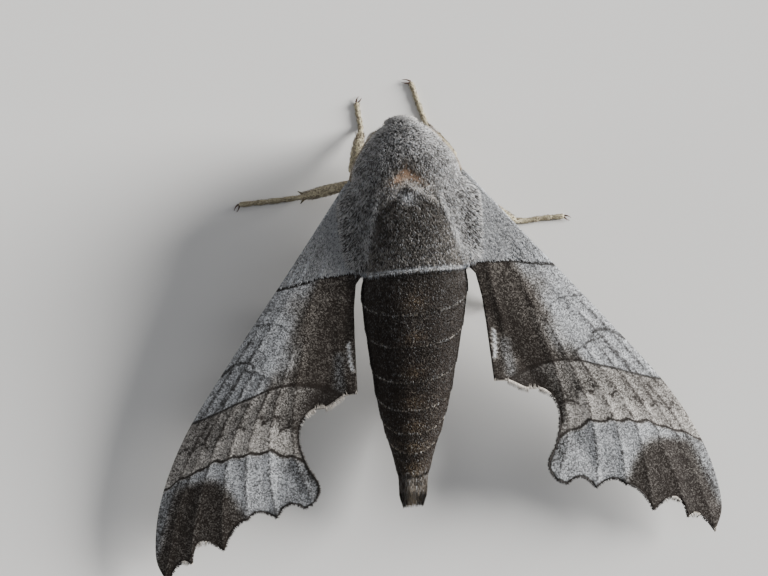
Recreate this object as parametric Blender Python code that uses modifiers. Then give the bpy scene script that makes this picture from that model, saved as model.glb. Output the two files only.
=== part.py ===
"""A grey hawk moth at rest, life-size, as one named solid for each part of its body.

The moth stands on z = 0 and faces -Y, with its left side towards +X. Places on it are
given in millimetres as (out, along, height): out is the distance from the plane of
symmetry, and along runs back from the crest of the head. A mesh is turned into metres
when it is finished.
"""

import math

import bmesh
import bpy
from mathutils import Matrix, Vector

MM = 0.001
SIDES = (("left", 1), ("right", -1))

GAP = 0.3  # clear space between neighbouring solids
KNEE_GAP = 0.65  # and from a knee to the limb on each side of it
RING_POINTS = 22  # points round a section of the body
UPPER_POWER = 2.3  # squareness of a section above its widest level
LOWER_POWER = 1.8  # and below it, where the body is narrower
MIDDLE_SHARE = 0.52  # how far up a section its widest place lies

# Sections of the head and thorax: along, half width, top, bottom.
FORE_SECTIONS = (
    (0.0, 0.9, 11.0, 7.9),
    (0.5, 1.9, 12.0, 6.9),
    (1.1, 2.9, 12.8, 6.2),
    (2.0, 4.0, 13.6, 5.6),
    (3.2, 5.0, 14.3, 5.0),
    (4.6, 5.95, 15.0, 4.6),
    (6.2, 6.4, 15.6, 4.3),
    (9.5, 6.45, 16.0, 4.1),
    (13.5, 6.35, 15.6, 4.2),
    (16.9, 6.1, 14.5, 4.6),
)
# The abdomen, measured along its own axis from the same crest.
HIND_SECTIONS = (
    (17.1, 6.0, 13.7, 4.7),
    (19.3, 6.25, 13.4, 4.2),
    (24.1, 5.65, 12.5, 3.7),
    (28.0, 5.0, 11.5, 3.4),
    (31.2, 4.45, 10.6, 3.3),
    (35.0, 3.5, 9.4, 3.5),
    (38.0, 2.55, 8.3, 3.9),
    (40.2, 1.98, 7.6, 4.2),
    (42.0, 1.75, 7.2, 4.5),
    (43.9, 1.25, 6.5, 5.1),
)
HEAD_END = 4.0
COLLAR_END = 6.3
THORAX_END = 16.9
ABDOMEN_EDGES = (17.2, 22.0, 25.6, 29.6, 32.8, 35.5, 37.7, 40.2, 43.9)
ABDOMEN_SKEW = 0.1  # the abdomen is carried a little to the left
EDGE_TILT = 0.9  # each plate's hind edge reaches this much further back on top
EDGE_FLARE = 0.03

EYE_RADIUS = 1.45
EYE_FLATNESS = 0.85
EYE_CENTRE = (2.95, 2.2, 7.9)
PALP_TIP = (0.95, 0.25, 6.35)
PALP_ROOT = (1.15, 2.3, 5.1)
PALP_BELLY = Vector((0, -0.55, -0.4))
PALP_RADIUS = 0.55

# The forewing in its own plan: u runs from the hinge to the tip, v towards the hind edge.
WING_HINGE = (6.46, 5.98, 11.7)
WING_SWEEP = math.radians(29.8)
WING_SCALE = 1.02
WING_THICKNESS = 0.5
WING_FALL = 0.155  # drop for each millimetre towards the tip
WING_ROOF = 0.12  # rise for each millimetre towards the hind edge
WING_CAMBER = 1.1
WING_LENGTH = 50.2
COSTA = ((0.75, -0.05), (11.1, -1.6), (24.4, -3.75), (33.9, -4.95), (41.8, -4.5), (47.8, -2.5), (50.2, 0.0))
# The outer margin from tip to tornus: a tooth at each vein's end, with the point of the
# scallop that follows it. The last scallop is the deep bite before the tornus.
SCALLOP_STEPS = 5
TEETH = (
    ((50.2, 0.0), (47.4, 0.4)),
    ((46.9, 1.7), (44.2, 1.5)),
    ((43.9, 4.4), (41.2, 4.4)),
    ((39.5, 5.4), (38.2, 6.2)),
    ((38.0, 8.3), (36.0, 8.9)),
)
LOBE = ((35.7, 10.7), (34.4, 11.4), (32.6, 11.1))
BITE = ((31.1, 8.9), (29.0, 7.0), (27.0, 6.4), (25.2, 6.9))
TORNUS = ((24.1, 8.3), (22.3, 9.4), (21.3, 10.7))
HIND_EDGE = ((19.6, 9.8), (15.3, 7.6), (12.9, 6.5), (10.4, 5.6))
ROOT_EDGE = ((1.2, 0.35),)
# The hindwing lies hidden under the forewing, drawn in the same plan.
HINDWING = (
    (2.6, 0.6),
    (14.0, -0.6),
    (25.0, -1.5),
    (31.5, -0.6),
    (34.0, 2.2),
    (31.5, 4.8),
    (27.0, 5.2),
    (23.0, 6.2),
    (19.0, 8.2),
    (14.5, 6.6),
    (10.4, 5.0),
)
HINDWING_DROP = 1.15
GRID_STEP = 5.0

TEGULA_CENTRE = (6.6, 10.6, 14.2)
TEGULA_SIZE = (2.9, 6.4, 4.6)
TEGULA_TURN = math.radians(-11)

ANTENNA = (
    (2.75, 1.1, 10.3),
    (3.85, 2.0, 9.95),
    (4.85, 3.3, 9.6),
    (5.8, 4.8, 9.4),
    (6.3, 6.3, 9.3),
    (7.1, 8.0, 9.2),
    (8.4, 10.0, 8.8),
    (13.0, 16.6, 7.3),
    (17.6, 24.0, 5.7),
)
ANTENNA_RADII = (0.3, 0.34, 0.34, 0.34, 0.34, 0.34, 0.32, 0.29, 0.25)
GROOVE_POINTS = 6  # the antenna lies in a groove of the body along its first points

# Each leg from hip to claw: hip, knee, ankle, then the points of the foot on the floor.
LEGS = {
    "foreleg_left": (
        (2.3, 5.0, 4.1),
        (6.0, 4.9, 4.1),
        (4.7, 0.6, 1.5),
        ((4.6, -0.6), (4.75, -2.0), (4.8, -3.3), (4.3, -3.9)),
    ),
    "foreleg_right": (
        (2.3, 5.0, 4.1),
        (5.8, 4.2, 4.1),
        (3.1, 0.5, 1.5),
        ((2.85, -0.8), (2.3, -2.9), (1.75, -5.1), (0.7, -5.3)),
    ),
    "midleg_left": (
        (2.9, 8.2, 4.0),
        (6.2, 6.4, 4.8),
        (11.7, 7.1, 1.5),
        ((13.0, 7.2), (16.0, 7.3), (19.7, 7.35), (20.2, 8.1)),
    ),
    "midleg_right": (
        (2.9, 8.2, 4.0),
        (6.8, 8.7, 4.9),
        (12.1, 12.2, 1.5),
        ((13.3, 12.4), (15.6, 12.3), (18.2, 12.3), (18.9, 12.7)),
    ),
    "hindleg_left": (
        (2.8, 12.2, 4.0),
        (6.6, 15.0, 4.6),
        (9.6, 21.0, 1.6),
        ((9.9, 22.2), (10.3, 24.6), (10.9, 27.6), (11.5, 28.2)),
    ),
    "hindleg_right": (
        (2.8, 12.2, 4.0),
        (6.6, 15.0, 4.6),
        (9.6, 21.0, 1.6),
        ((9.9, 22.2), (10.3, 24.6), (10.9, 27.6), (11.5, 28.2)),
    ),
}
FEMUR_RADII = (0.45, 0.72, 0.78, 0.6, 0.42)
TIBIA_RADII = (0.4, 0.6, 0.68, 0.6, 0.42)
FOOT_BEAD = (0.34, 0.28)  # radius at the middle of a foot joint and at its ends
FOOT_HEIGHT = 0.2  # height of a foot's axis, which leaves a flat under it
CLAW_RADIUS = 0.25

COLOURS = {
    "grey_fur": ((0.16, 0.155, 0.15), 0.85),
    "dark_fur": ((0.035, 0.028, 0.022), 0.85),
    "wing_scales": ((0.17, 0.17, 0.175), 0.75),
    "hindwing_scales": ((0.12, 0.095, 0.07), 0.75),
    "pale_leg": ((0.4, 0.38, 0.25), 0.6),
    "antenna_brown": ((0.2, 0.12, 0.07), 0.6),
    "eye_dark": ((0.02, 0.014, 0.01), 0.15),
}


def clear_scene():
    for thing in list(bpy.data.objects):
        bpy.data.objects.remove(thing, do_unlink=True)


def new_material(name):
    colour, roughness = COLOURS[name]
    material = bpy.data.materials.new(name)
    material.use_nodes = True
    shader = material.node_tree.nodes["Principled BSDF"]
    shader.inputs["Base Color"].default_value = (*colour, 1.0)
    shader.inputs["Roughness"].default_value = roughness
    shader.inputs["Metallic"].default_value = 0.0
    return material


def new_collection(name):
    collection = bpy.data.collections.new(name)
    bpy.context.scene.collection.children.link(collection)
    return collection


def new_object(name, mesh, material, parent):
    thing = bpy.data.objects.new(name, mesh)
    if material:
        mesh.materials.append(material)
    thing.parent = parent
    return thing


def mesh_of(bm, name):
    """The bmesh, drawn in millimetres, as a smooth-shaded mesh in metres."""
    bmesh.ops.scale(bm, vec=(MM, MM, MM), verts=bm.verts)
    bmesh.ops.recalc_face_normals(bm, faces=bm.faces)
    mesh = bpy.data.meshes.new(name)
    bm.to_mesh(mesh)
    bm.free()
    mesh.shade_smooth()
    mesh.set_sharp_from_angle(angle=math.radians(50))
    return mesh


def curve_value(knots, at):
    """The row of numbers at a place along the knots, by cubic interpolation."""
    last = len(knots) - 2
    i = max(0, min(last, sum(1 for knot in knots if knot[0] <= at) - 1))
    before, start, end, after = knots[max(i - 1, 0)], knots[i], knots[i + 1], knots[min(i + 2, last + 1)]
    width = end[0] - start[0]
    x = min(max((at - start[0]) / width, 0.0), 1.0)
    found = []
    for a, b, c, d in zip(before[1:], start[1:], end[1:], after[1:]):
        slope_in = (c - a) / max(end[0] - before[0], 1e-6) * width
        slope_out = (d - b) / max(after[0] - start[0], 1e-6) * width
        found.append(
            (2 * x**3 - 3 * x**2 + 1) * b
            + (x**3 - 2 * x**2 + x) * slope_in
            + (3 * x**2 - 2 * x**3) * c
            + (x**3 - x**2) * slope_out
        )
    return found


def smooth_path(points, steps):
    """Points of a smooth line through the given ones, with that many steps between each two."""
    knots = [(i, *point) for i, point in enumerate(points)]
    count = (len(points) - 1) * steps
    return [Vector(curve_value(knots, i / steps)) for i in range(count + 1)]


def section(sections, along, tilt=0.0, swell=1.0):
    """One ring of the body: a rounded section that leans back at its top by the tilt."""
    half_width, top, bottom = curve_value(sections, along)
    middle = bottom + MIDDLE_SHARE * (top - bottom)
    ring = []
    for i in range(RING_POINTS):
        angle = 2 * math.pi * i / RING_POINTS
        power = UPPER_POWER if math.sin(angle) >= 0 else LOWER_POWER
        across = math.copysign(abs(math.cos(angle)) ** (2 / power), math.cos(angle))
        up = math.copysign(abs(math.sin(angle)) ** (2 / power), math.sin(angle))
        reach = top - middle if up > 0 else middle - bottom
        height = middle + swell * reach * up
        lean = tilt * (height - middle) / (top - middle)
        ring.append(Vector((swell * half_width * across, along + lean, height)))
    return ring


def loft(rings):
    """A closed body through the rings, with a flat cap at each end."""
    bm = bmesh.new()
    loops = [[bm.verts.new(point) for point in ring] for ring in rings]
    for front, back in zip(loops, loops[1:]):
        for i, vert in enumerate(front):
            j = (i + 1) % len(front)
            bm.faces.new((vert, front[j], back[j], back[i]))
    bm.faces.new(loops[0])
    bm.faces.new(loops[-1])
    return bm


def steps_between(start, end, count):
    return [start + (end - start) * i / count for i in range(count + 1)]


def tube(points, radii, name, flat=False):
    """A round tube along the points as a mesh; a flat one is pressed level where it meets the floor."""
    curve = bpy.data.curves.new(name, "CURVE")
    curve.dimensions = "3D"
    curve.bevel_depth = MM
    curve.bevel_resolution = 2
    curve.use_fill_caps = True
    spline = curve.splines.new("POLY")
    spline.points.add(len(points) - 1)
    for spot, point, radius in zip(spline.points, points, radii):
        spot.co = (*(point * MM), 1.0)
        spot.radius = radius
    helper = bpy.data.objects.new(name, curve)
    bpy.context.scene.collection.objects.link(helper)
    bpy.context.view_layer.update()
    graph = bpy.context.evaluated_depsgraph_get()
    mesh = bpy.data.meshes.new_from_object(helper.evaluated_get(graph))
    bpy.data.objects.remove(helper, do_unlink=True)
    bm = bmesh.new()
    bm.from_mesh(mesh)
    bpy.data.meshes.remove(mesh)
    bmesh.ops.remove_doubles(bm, verts=bm.verts, dist=1e-7)
    bmesh.ops.scale(bm, vec=(1 / MM, 1 / MM, 1 / MM), verts=bm.verts)
    if flat:
        for vert in bm.verts:
            vert.co.z = max(vert.co.z, 0.0)
    return mesh_of(bm, name)


def ellipsoid(name, centre, size, turn=0.0, segments=24, rings=12):
    bm = bmesh.new()
    bmesh.ops.create_uvsphere(bm, u_segments=segments, v_segments=rings, radius=1.0)
    place = Matrix.Translation(centre) @ Matrix.Rotation(turn, 4, "Z") @ Matrix.Diagonal((*size, 1.0))
    bmesh.ops.transform(bm, matrix=place, verts=bm.verts)
    return mesh_of(bm, name)


def cut(thing, cutter, operation="DIFFERENCE"):
    modifier = thing.modifiers.new(operation.lower(), "BOOLEAN")
    modifier.operation = operation
    modifier.object = cutter


class Moth:
    """The collection, its centring empty, the materials and the cutters."""

    def __init__(self):
        self.parts = new_collection("hawk_moth")
        self.cutters = new_collection("cutters")
        self.root = bpy.data.objects.new("moth_root", None)
        self.parts.objects.link(self.root)
        self.materials = {name: new_material(name) for name in COLOURS}

    def part(self, name, mesh, material):
        thing = new_object(name, mesh, self.materials[material], self.root)
        self.parts.objects.link(thing)
        return thing

    def cutter(self, name, mesh):
        thing = new_object(name, mesh, None, self.root)
        self.cutters.objects.link(thing)
        thing.hide_render = True
        thing.display_type = "WIRE"
        return thing


def build_head(moth):
    stations = [0.0, 0.5, 1.1, 1.8, 2.5, HEAD_END]
    rings = [section(FORE_SECTIONS, at) for at in stations]
    head = moth.part("head", mesh_of(loft(rings), "head"), "grey_fur")
    for label, side in SIDES:
        out, along, height = EYE_CENTRE
        centre = (side * out, along, height)
        eye_size = (EYE_RADIUS * EYE_FLATNESS, EYE_RADIUS, EYE_RADIUS)
        moth.part(f"eye_{label}", ellipsoid("eye", centre, eye_size), "eye_dark")
        socket_size = [radius + GAP / 2 for radius in eye_size]
        cut(head, moth.cutter(f"socket_{label}", ellipsoid("socket", centre, socket_size)))
        build_palp(moth, label, side)
    return head


def build_palp(moth, label, side):
    root = Vector((side * PALP_ROOT[0], *PALP_ROOT[1:]))
    tip = Vector((side * PALP_TIP[0], *PALP_TIP[1:]))
    belly = (root + tip) / 2 + PALP_BELLY
    radii = [PALP_RADIUS * swell for swell in (0.55, 0.85, 1.0, 1.0, 0.9, 0.7, 0.4)]
    moth.part(f"palp_{label}", tube(smooth_path((root, belly, tip), 3), radii, "palp"), "grey_fur")


def build_antennae(moth, body):
    """Each antenna is laid back in a groove along the head, the collar and the shoulder."""
    knots = [(i, radius) for i, radius in enumerate(ANTENNA_RADII)]
    for label, side in SIDES:
        path = smooth_path([(side * out, along, height) for out, along, height in ANTENNA], 3)
        radii = [curve_value(knots, i / 3)[0] for i in range(len(path))]
        moth.part(f"antenna_{label}", tube(path, radii, "antenna"), "antenna_brown")
        count = 3 * GROOVE_POINTS
        first = path[0] + (path[0] - path[1])
        groove = tube([first, *path[1:count]], [radius + GAP / 2 for radius in radii[:count]], "groove")
        cutter = moth.cutter(f"groove_{label}", groove)
        for thing in body:
            cut(thing, cutter)


def build_thorax(moth):
    collar_rings = steps_between(HEAD_END + GAP / 2, COLLAR_END - GAP / 2, 3)
    collar = loft([section(FORE_SECTIONS, at) for at in collar_rings])
    collar = moth.part("collar", mesh_of(collar, "collar"), "grey_fur")
    thorax_rings = steps_between(COLLAR_END + GAP / 2, THORAX_END, 7)
    rings = [section(FORE_SECTIONS, at) for at in thorax_rings]
    thorax = moth.part("thorax", mesh_of(loft(rings), "thorax"), "grey_fur")
    for label, side in SIDES:
        out, along, height = TEGULA_CENTRE
        centre = (side * out, along, height)
        turn = side * TEGULA_TURN
        tegula = moth.part(f"tegula_{label}", mesh_of(loft(rings), "tegula"), "grey_fur")
        shape = ellipsoid("tegula_shape", centre, TEGULA_SIZE, turn, 20, 10)
        cut(tegula, moth.cutter(f"tegula_shape_{label}", shape), "INTERSECT")
        bed_size = [radius + GAP for radius in TEGULA_SIZE]
        bed = ellipsoid("tegula_bed", centre, bed_size, turn, 20, 10)
        cut(thorax, moth.cutter(f"tegula_bed_{label}", bed))
    return collar, thorax


def build_abdomen(moth):
    last = len(ABDOMEN_EDGES) - 1
    for i in range(last):
        start, end = ABDOMEN_EDGES[i] + GAP / 2, ABDOMEN_EDGES[i + 1] - GAP / 2
        tilts = [EDGE_TILT * min(1.0, i / 2), EDGE_TILT * min(1.0, (i + 1) / 2)]
        rings = []
        for j in range(4):
            share = j / 3
            along = start + (end - start) * share
            tilt = tilts[0] + (tilts[1] - tilts[0]) * share
            swell = 1 + EDGE_FLARE * (share - 0.5)
            if i == last - 1:
                tilt = EDGE_TILT * (1 - share)
            rings.append(section(HIND_SECTIONS, along, tilt, swell))
        bm = loft(rings)
        for vert in bm.verts:
            vert.co.x += ABDOMEN_SKEW * (vert.co.y - THORAX_END)
        name = f"abdomen_{i + 1}" if i < last - 1 else "tail_tuft"
        moth.part(name, mesh_of(bm, name), "dark_fur")


def forewing_outline():
    """The forewing's edge, closed, with the smooth stretches filled in between their points."""
    outline = [point.to_tuple() for point in smooth_path([(u, v) for u, v in COSTA], 4)]
    next_teeth = [tooth for tooth, _ in TEETH[1:]] + [LOBE[0]]
    for (tooth, notch), following in zip(TEETH, next_teeth):
        outline += scallop(tooth, notch, following)
    outline += [point.to_tuple() for point in smooth_path((*LOBE, *BITE, *TORNUS), 2)]
    outline += [*HIND_EDGE, *ROOT_EDGE]
    return [point for i, point in enumerate(outline) if point != outline[i - 1]]


def scallop(tooth, notch, following):
    """A hollow curve from one tooth through its notch to just before the next tooth."""
    points = []
    for i in range(1, SCALLOP_STEPS):
        x = i / SCALLOP_STEPS
        bend = 4 * x * (1 - x)
        u, v = (a + (b - a) * x + (n - (a + b) / 2) * bend for a, b, n in zip(tooth, following, notch))
        points.append((u, v))
    return [*points, following]


def wing_point(side, u, v, drop=0.0):
    """A place on the wing's middle surface, roofed, drooping and gently cambered."""
    out = WING_HINGE[0] + WING_SCALE * (u * math.sin(WING_SWEEP) - v * math.cos(WING_SWEEP))
    along = WING_HINGE[1] + WING_SCALE * (u * math.cos(WING_SWEEP) + v * math.sin(WING_SWEEP))
    across = min(max((v + 5) / 12, 0.0), 1.0)
    outward = min(max(u / WING_LENGTH, 0.0), 1.0)
    camber = WING_CAMBER * math.sin(math.pi * across) * math.sin(math.pi * outward) ** 0.7
    height = WING_HINGE[2] - WING_FALL * u + WING_ROOF * v + camber - drop
    return Vector((side * out, along, height))


def wing_sheet(outline, side, drop):
    """The outline as a sheet, cut along a grid so that it can bend, and laid on the wing's surface."""
    bm = bmesh.new()
    bm.faces.new([bm.verts.new((u, v, 0)) for u, v in outline])
    for axis in (0, 1):
        low = min(point[axis] for point in outline)
        high = max(point[axis] for point in outline)
        cuts = int((high - low) / GRID_STEP)
        normal = Vector((1, 0, 0)) if axis == 0 else Vector((0, 1, 0))
        for i in range(1, cuts + 1):
            spot = normal * (low + (high - low) * i / (cuts + 1))
            geometry = bm.verts[:] + bm.edges[:] + bm.faces[:]
            bmesh.ops.bisect_plane(bm, geom=geometry, dist=1e-4, plane_co=spot, plane_no=normal)
    bmesh.ops.triangulate(bm, faces=bm.faces[:])
    for vert in bm.verts:
        vert.co = wing_point(side, vert.co.x, vert.co.y, drop)
    return bm


def build_wings(moth):
    forewing = forewing_outline()
    hindwing = [point.to_tuple() for point in smooth_path((*HINDWING, HINDWING[0]), 2)][:-1]
    kinds = (
        ("forewing", forewing, 0.0, "wing_scales"),
        ("hindwing", hindwing, HINDWING_DROP, "hindwing_scales"),
    )
    for kind, outline, drop, material in kinds:
        for label, side in SIDES:
            name = f"{kind}_{label}"
            wing = moth.part(name, mesh_of(wing_sheet(outline, side, drop), name), material)
            wall = wing.modifiers.new("thickness", "SOLIDIFY")
            wall.thickness = WING_THICKNESS * MM
            wall.offset = 0.0


def shortened(start, end, front, back):
    """The line between two joints, drawn back from each by the space that it leaves there."""
    way = (end - start).normalized()
    return start + way * front, end - way * back


def limb(start, end, radii, bow, name):
    """A leg's straight length, swelling along the radii and bowed up by a little."""
    count = len(radii) - 1
    points = []
    for i in range(count + 1):
        x = i / count
        points.append(start.lerp(end, x) + Vector((0, 0, bow * 4 * x * (1 - x))))
    return tube(points, radii, name)


def foot_line(ankle, spots, side):
    """From the ankle down to the floor, along it joint by joint, to the hooked claw."""
    first = Vector((side * spots[0][0], spots[0][1], FOOT_HEIGHT))
    line = [ankle, ankle.lerp(first, 0.6) + Vector((0, 0, -0.12)), first]
    for (out_a, along_a), (out_b, along_b) in zip(spots[:-2], spots[1:-1]):
        for x in (0.25, 0.5, 0.75, 1.0):
            out = out_a + (out_b - out_a) * x
            line.append(Vector((side * out, along_a + (along_b - along_a) * x, FOOT_HEIGHT)))
    out, along = spots[-1]
    claw = Vector((side * out, along, FOOT_HEIGHT))
    line += [line[-1].lerp(claw, 0.55) + Vector((0, 0, 0.25)), claw]
    radii = [FOOT_BEAD[i % 2] for i in range(len(line) - 2)] + [CLAW_RADIUS, CLAW_RADIUS]
    return line, radii


def build_legs(moth):
    for name, (hip, knee, ankle, spots) in LEGS.items():
        side = 1 if name.endswith("left") else -1
        hip, knee, ankle = (Vector((side * point[0], *point[1:])) for point in (hip, knee, ankle))
        leg, label = name.split("_")
        start, end = shortened(hip, knee, 0.0, KNEE_GAP)
        moth.part(f"{leg}_femur_{label}", limb(start, end, FEMUR_RADII, 0.0, "femur"), "pale_leg")
        start, end = shortened(knee, ankle, KNEE_GAP, GAP / 2)
        moth.part(f"{leg}_tibia_{label}", limb(start, end, TIBIA_RADII, 0.15, "tibia"), "pale_leg")
        line, radii = foot_line(ankle, spots, side)
        line[0], _ = shortened(line[0], line[1], GAP, 0.0)
        moth.part(f"{leg}_foot_{label}", tube(line, radii, "foot", flat=True), "pale_leg")


def centre_on_floor(moth):
    """Slides the moth so that the middle of its box stands over the origin."""
    bpy.context.view_layer.update()
    graph = bpy.context.evaluated_depsgraph_get()
    corners = []
    for thing in moth.parts.objects:
        if thing.type == "MESH":
            whole = thing.evaluated_get(graph)
            corners += [whole.matrix_world @ Vector(corner) for corner in whole.bound_box]
    for axis in (0, 1):
        values = [corner[axis] for corner in corners]
        moth.root.location[axis] = -(min(values) + max(values)) / 2


def main():
    clear_scene()
    moth = Moth()
    head = build_head(moth)
    collar, thorax = build_thorax(moth)
    build_antennae(moth, (head, collar, thorax))
    build_abdomen(moth)
    build_wings(moth)
    build_legs(moth)
    centre_on_floor(moth)


main()
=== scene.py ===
"""A grey hawk moth at rest: its skin, coat, wings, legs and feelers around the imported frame.

Places on the moth are given in millimetres as (out, along, height): out is the distance
from the plane of symmetry, and along runs back from the crest of the head. On a wing they
are (u, v): u runs from the hinge to the tip, and v from the front edge's side to the hind
edge's.
"""

import math

import bmesh
import bpy
import numpy as np
from mathutils import Matrix, Vector


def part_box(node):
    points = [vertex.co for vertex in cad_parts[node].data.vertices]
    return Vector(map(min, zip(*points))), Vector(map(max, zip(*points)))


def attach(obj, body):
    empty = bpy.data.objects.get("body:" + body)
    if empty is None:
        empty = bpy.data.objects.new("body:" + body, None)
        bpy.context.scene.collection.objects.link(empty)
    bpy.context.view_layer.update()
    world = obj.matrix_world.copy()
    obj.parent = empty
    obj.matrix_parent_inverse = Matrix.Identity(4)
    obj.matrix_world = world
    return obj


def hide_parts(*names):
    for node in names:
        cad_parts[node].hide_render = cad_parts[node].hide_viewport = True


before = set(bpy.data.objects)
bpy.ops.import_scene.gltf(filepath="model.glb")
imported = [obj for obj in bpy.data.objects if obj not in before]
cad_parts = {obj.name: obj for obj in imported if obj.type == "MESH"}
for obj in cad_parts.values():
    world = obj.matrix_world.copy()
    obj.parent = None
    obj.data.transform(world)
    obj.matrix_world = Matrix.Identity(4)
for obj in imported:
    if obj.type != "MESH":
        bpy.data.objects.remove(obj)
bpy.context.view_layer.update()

MM = 0.001
SIDES = (("left", 1), ("right", -1))
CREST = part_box("head")[0][1] / MM  # the y of the crest of the head
FLOOR = 0.0

# --- The body's form -------------------------------------------------------------------

UPPER_POWER = 2.3
LOWER_POWER = 1.8
MIDDLE_SHARE = 0.52
FORE_SECTIONS = (
    (0.0, 0.9, 11.0, 7.9),
    (0.5, 1.9, 12.0, 6.9),
    (1.1, 2.9, 12.8, 6.2),
    (2.0, 4.0, 13.6, 5.6),
    (3.2, 5.0, 14.3, 5.0),
    (4.6, 5.95, 15.0, 4.6),
    (6.2, 6.4, 15.6, 4.3),
    (9.5, 6.45, 16.0, 4.1),
    (13.5, 6.35, 15.6, 4.2),
    (16.9, 6.1, 14.5, 4.6),
)
HIND_SECTIONS = (
    (17.1, 6.0, 13.7, 4.7),
    (19.3, 6.25, 13.4, 4.2),
    (24.1, 5.65, 12.5, 3.7),
    (28.0, 5.0, 11.5, 3.4),
    (31.2, 4.45, 10.6, 3.3),
    (35.0, 3.5, 9.4, 3.5),
    (38.0, 2.55, 8.3, 3.9),
    (40.2, 1.98, 7.6, 4.2),
    (42.0, 1.75, 7.2, 4.5),
    (43.9, 1.25, 6.5, 5.1),
)
THORAX_END = 16.9
ABDOMEN_EDGES = (17.2, 22.0, 25.6, 29.6, 32.8, 35.5, 37.7, 40.2)
BODY_END = 43.9
ABDOMEN_SKEW = 0.1
EDGE_TILT = 0.9
COLLAR_END = 6.3
SKIN_START = 0.45
SKIN_END = 43.0
SKIN_ROWS = 190
SKIN_POINTS = 96
CAP_SHARES = (0.9, 0.7, 0.42)  # the rings that round off each end of the skin
CAP_REACH = 0.6
CAP_ON_MAP = 0.5
POLE_ON_MAP = 0.38
MAP_LENGTH = 45.0  # the stretch of the body that spans the skin's map
SEAM_SHARE = 0.985  # the part of the map's width that goes once round the body
SKIRT_REACH = 1.9

# --- The forewing's plan ---------------------------------------------------------------

WING_HINGE = (6.46, 5.98, 11.7)
WING_SWEEP = math.radians(29.8)
WING_SCALE = 1.02
WING_FALL = 0.155
WING_ROOF = 0.12
WING_CAMBER = 1.1
WING_LENGTH = 50.2
WING_WALL = 0.2
COSTA = ((0.75, -0.05), (11.1, -1.6), (24.4, -3.75), (33.9, -4.95), (41.8, -4.5), (47.8, -2.5), (50.2, 0.0))
TEETH = (
    ((50.2, 0.0), (47.4, 0.4)),
    ((46.9, 1.7), (44.2, 1.5)),
    ((43.9, 4.4), (41.2, 4.4)),
    ((39.5, 5.4), (38.2, 6.2)),
    ((38.0, 8.3), (36.0, 8.9)),
)
LOBE = ((35.7, 10.7), (34.4, 11.4), (32.6, 11.1))
BITE = ((31.1, 8.9), (29.0, 7.0), (27.0, 6.4), (25.2, 6.9))
TORNUS = ((24.1, 8.3), (22.3, 9.4), (21.3, 10.7))
HIND_EDGE = ((19.6, 9.8), (15.3, 7.6), (12.9, 6.5), (10.4, 5.6))
HINDWING = (
    (2.6, 0.6),
    (14.0, -0.6),
    (25.0, -1.5),
    (31.5, -0.6),
    (34.0, 2.2),
    (31.5, 4.8),
    (27.0, 5.2),
    (23.0, 6.2),
    (19.0, 8.2),
    (14.5, 6.6),
    (10.4, 5.0),
)
HINDWING_DROP = 1.15
WING_MAP = 53.0  # the stretch of the forewing's plan that spans its map
HINDWING_MAP = 36.0
MAP_SHIFT = (1.0, 6.0)
TOP_ON_MAP = 0.03
UNDERSIDE_ON_MAP = 0.42
WING_CELL = 0.3
FRINGE_SCALES = 24  # scales on each millimetre of the free edge

# Veins of the forewing as bends of (u, v).
VEINS = (
    ((2.0, -0.1), (14.0, -1.3), (24.0, -3.0), (33.0, -4.3)),
    ((3.0, 0.3), (14.0, -0.5), (24.3, -1.9), (36.0, -3.6), (46.5, -2.7)),
    ((24.3, -1.9), (35.0, -2.7), (42.0, -2.2), (49.3, -0.5)),
    ((24.3, -0.9), (33.0, -1.4), (41.0, -0.2), (46.7, 1.4)),
    ((24.1, 0.3), (33.0, 0.3), (39.0, 2.1), (43.7, 4.2)),
    ((23.8, 1.5), (31.0, 1.9), (36.0, 3.5), (39.4, 5.3)),
    ((3.0, 0.5), (12.0, 1.7), (22.0, 2.4), (29.0, 3.5), (34.0, 5.6), (37.9, 8.1)),
    ((15.5, 2.0), (20.0, 3.3), (26.0, 5.0), (31.0, 7.4), (34.4, 11.0)),
    ((4.0, 1.4), (12.0, 4.6), (18.0, 6.9), (21.6, 10.0)),
    ((24.4, -1.9), (23.9, -0.4), (23.9, 1.5)),
)
# Lines across the forewing, as (v, u) from the front edge to the hind edge.
FIRST_LINE = ((-3.0, 15.2), (-2.0, 14.5), (0.0, 12.9), (1.6, 11.5), (3.0, 10.6), (4.5, 9.6), (7.0, 8.2))
MIDDLE_LINE = (
    (-5.2, 32.6),
    (-4.2, 31.7),
    (-2.5, 29.8),
    (-1.1, 28.1),
    (0.3, 26.6),
    (1.8, 24.9),
    (3.6, 23.6),
    (7.0, 22.3),
)
OUTER_LINE = (
    (-5.2, 41.2),
    (-4.4, 40.2),
    (-3.3, 38.4),
    (-2.0, 36.9),
    (-0.9, 35.3),
    (0.6, 34.1),
    (1.5, 33.3),
    (2.9, 32.4),
    (4.2, 31.5),
    (5.6, 31.1),
    (9.0, 31.1),
)
CRESCENT_LINE = (
    (-5.2, 36.0),
    (-2.9, 34.0),
    (-0.7, 31.4),
    (0.9, 29.4),
    (2.6, 27.7),
    (4.4, 27.6),
    (9.0, 28.2),
)
# Where the dark patch at the wing's tip begins.
APEX_LINE = ((-5.2, 39.6), (-3.0, 38.6), (-1.0, 36.9), (0.6, 36.3), (2.4, 36.9), (4.2, 38.0), (9.0, 41.0))
# Between these v the crescents and the outer line's small scallops arch.
CELL_EDGES = (-5.0, -3.6, -2.1, -0.7, 0.9, 2.6, 4.6, 7.0)
DISCAL_MARK = ((23.6, -0.9), (23.4, -1.9), (24.2, -3.0), (26.0, -4.0))
CLOUD_LINE = ((19.3, -2.9), (18.6, -1.6), (18.0, -0.3), (18.4, 1.2), (19.4, 2.6))
HIND_FLAP = ((16.7, 7.55), (18.0, 8.25), (19.3, 9.2))  # the white flap on the hind edge
TORNAL_STREAK = ((18.6, 7.3), (21.6, 8.6))

# --- Legs and feelers ------------------------------------------------------------------

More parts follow.
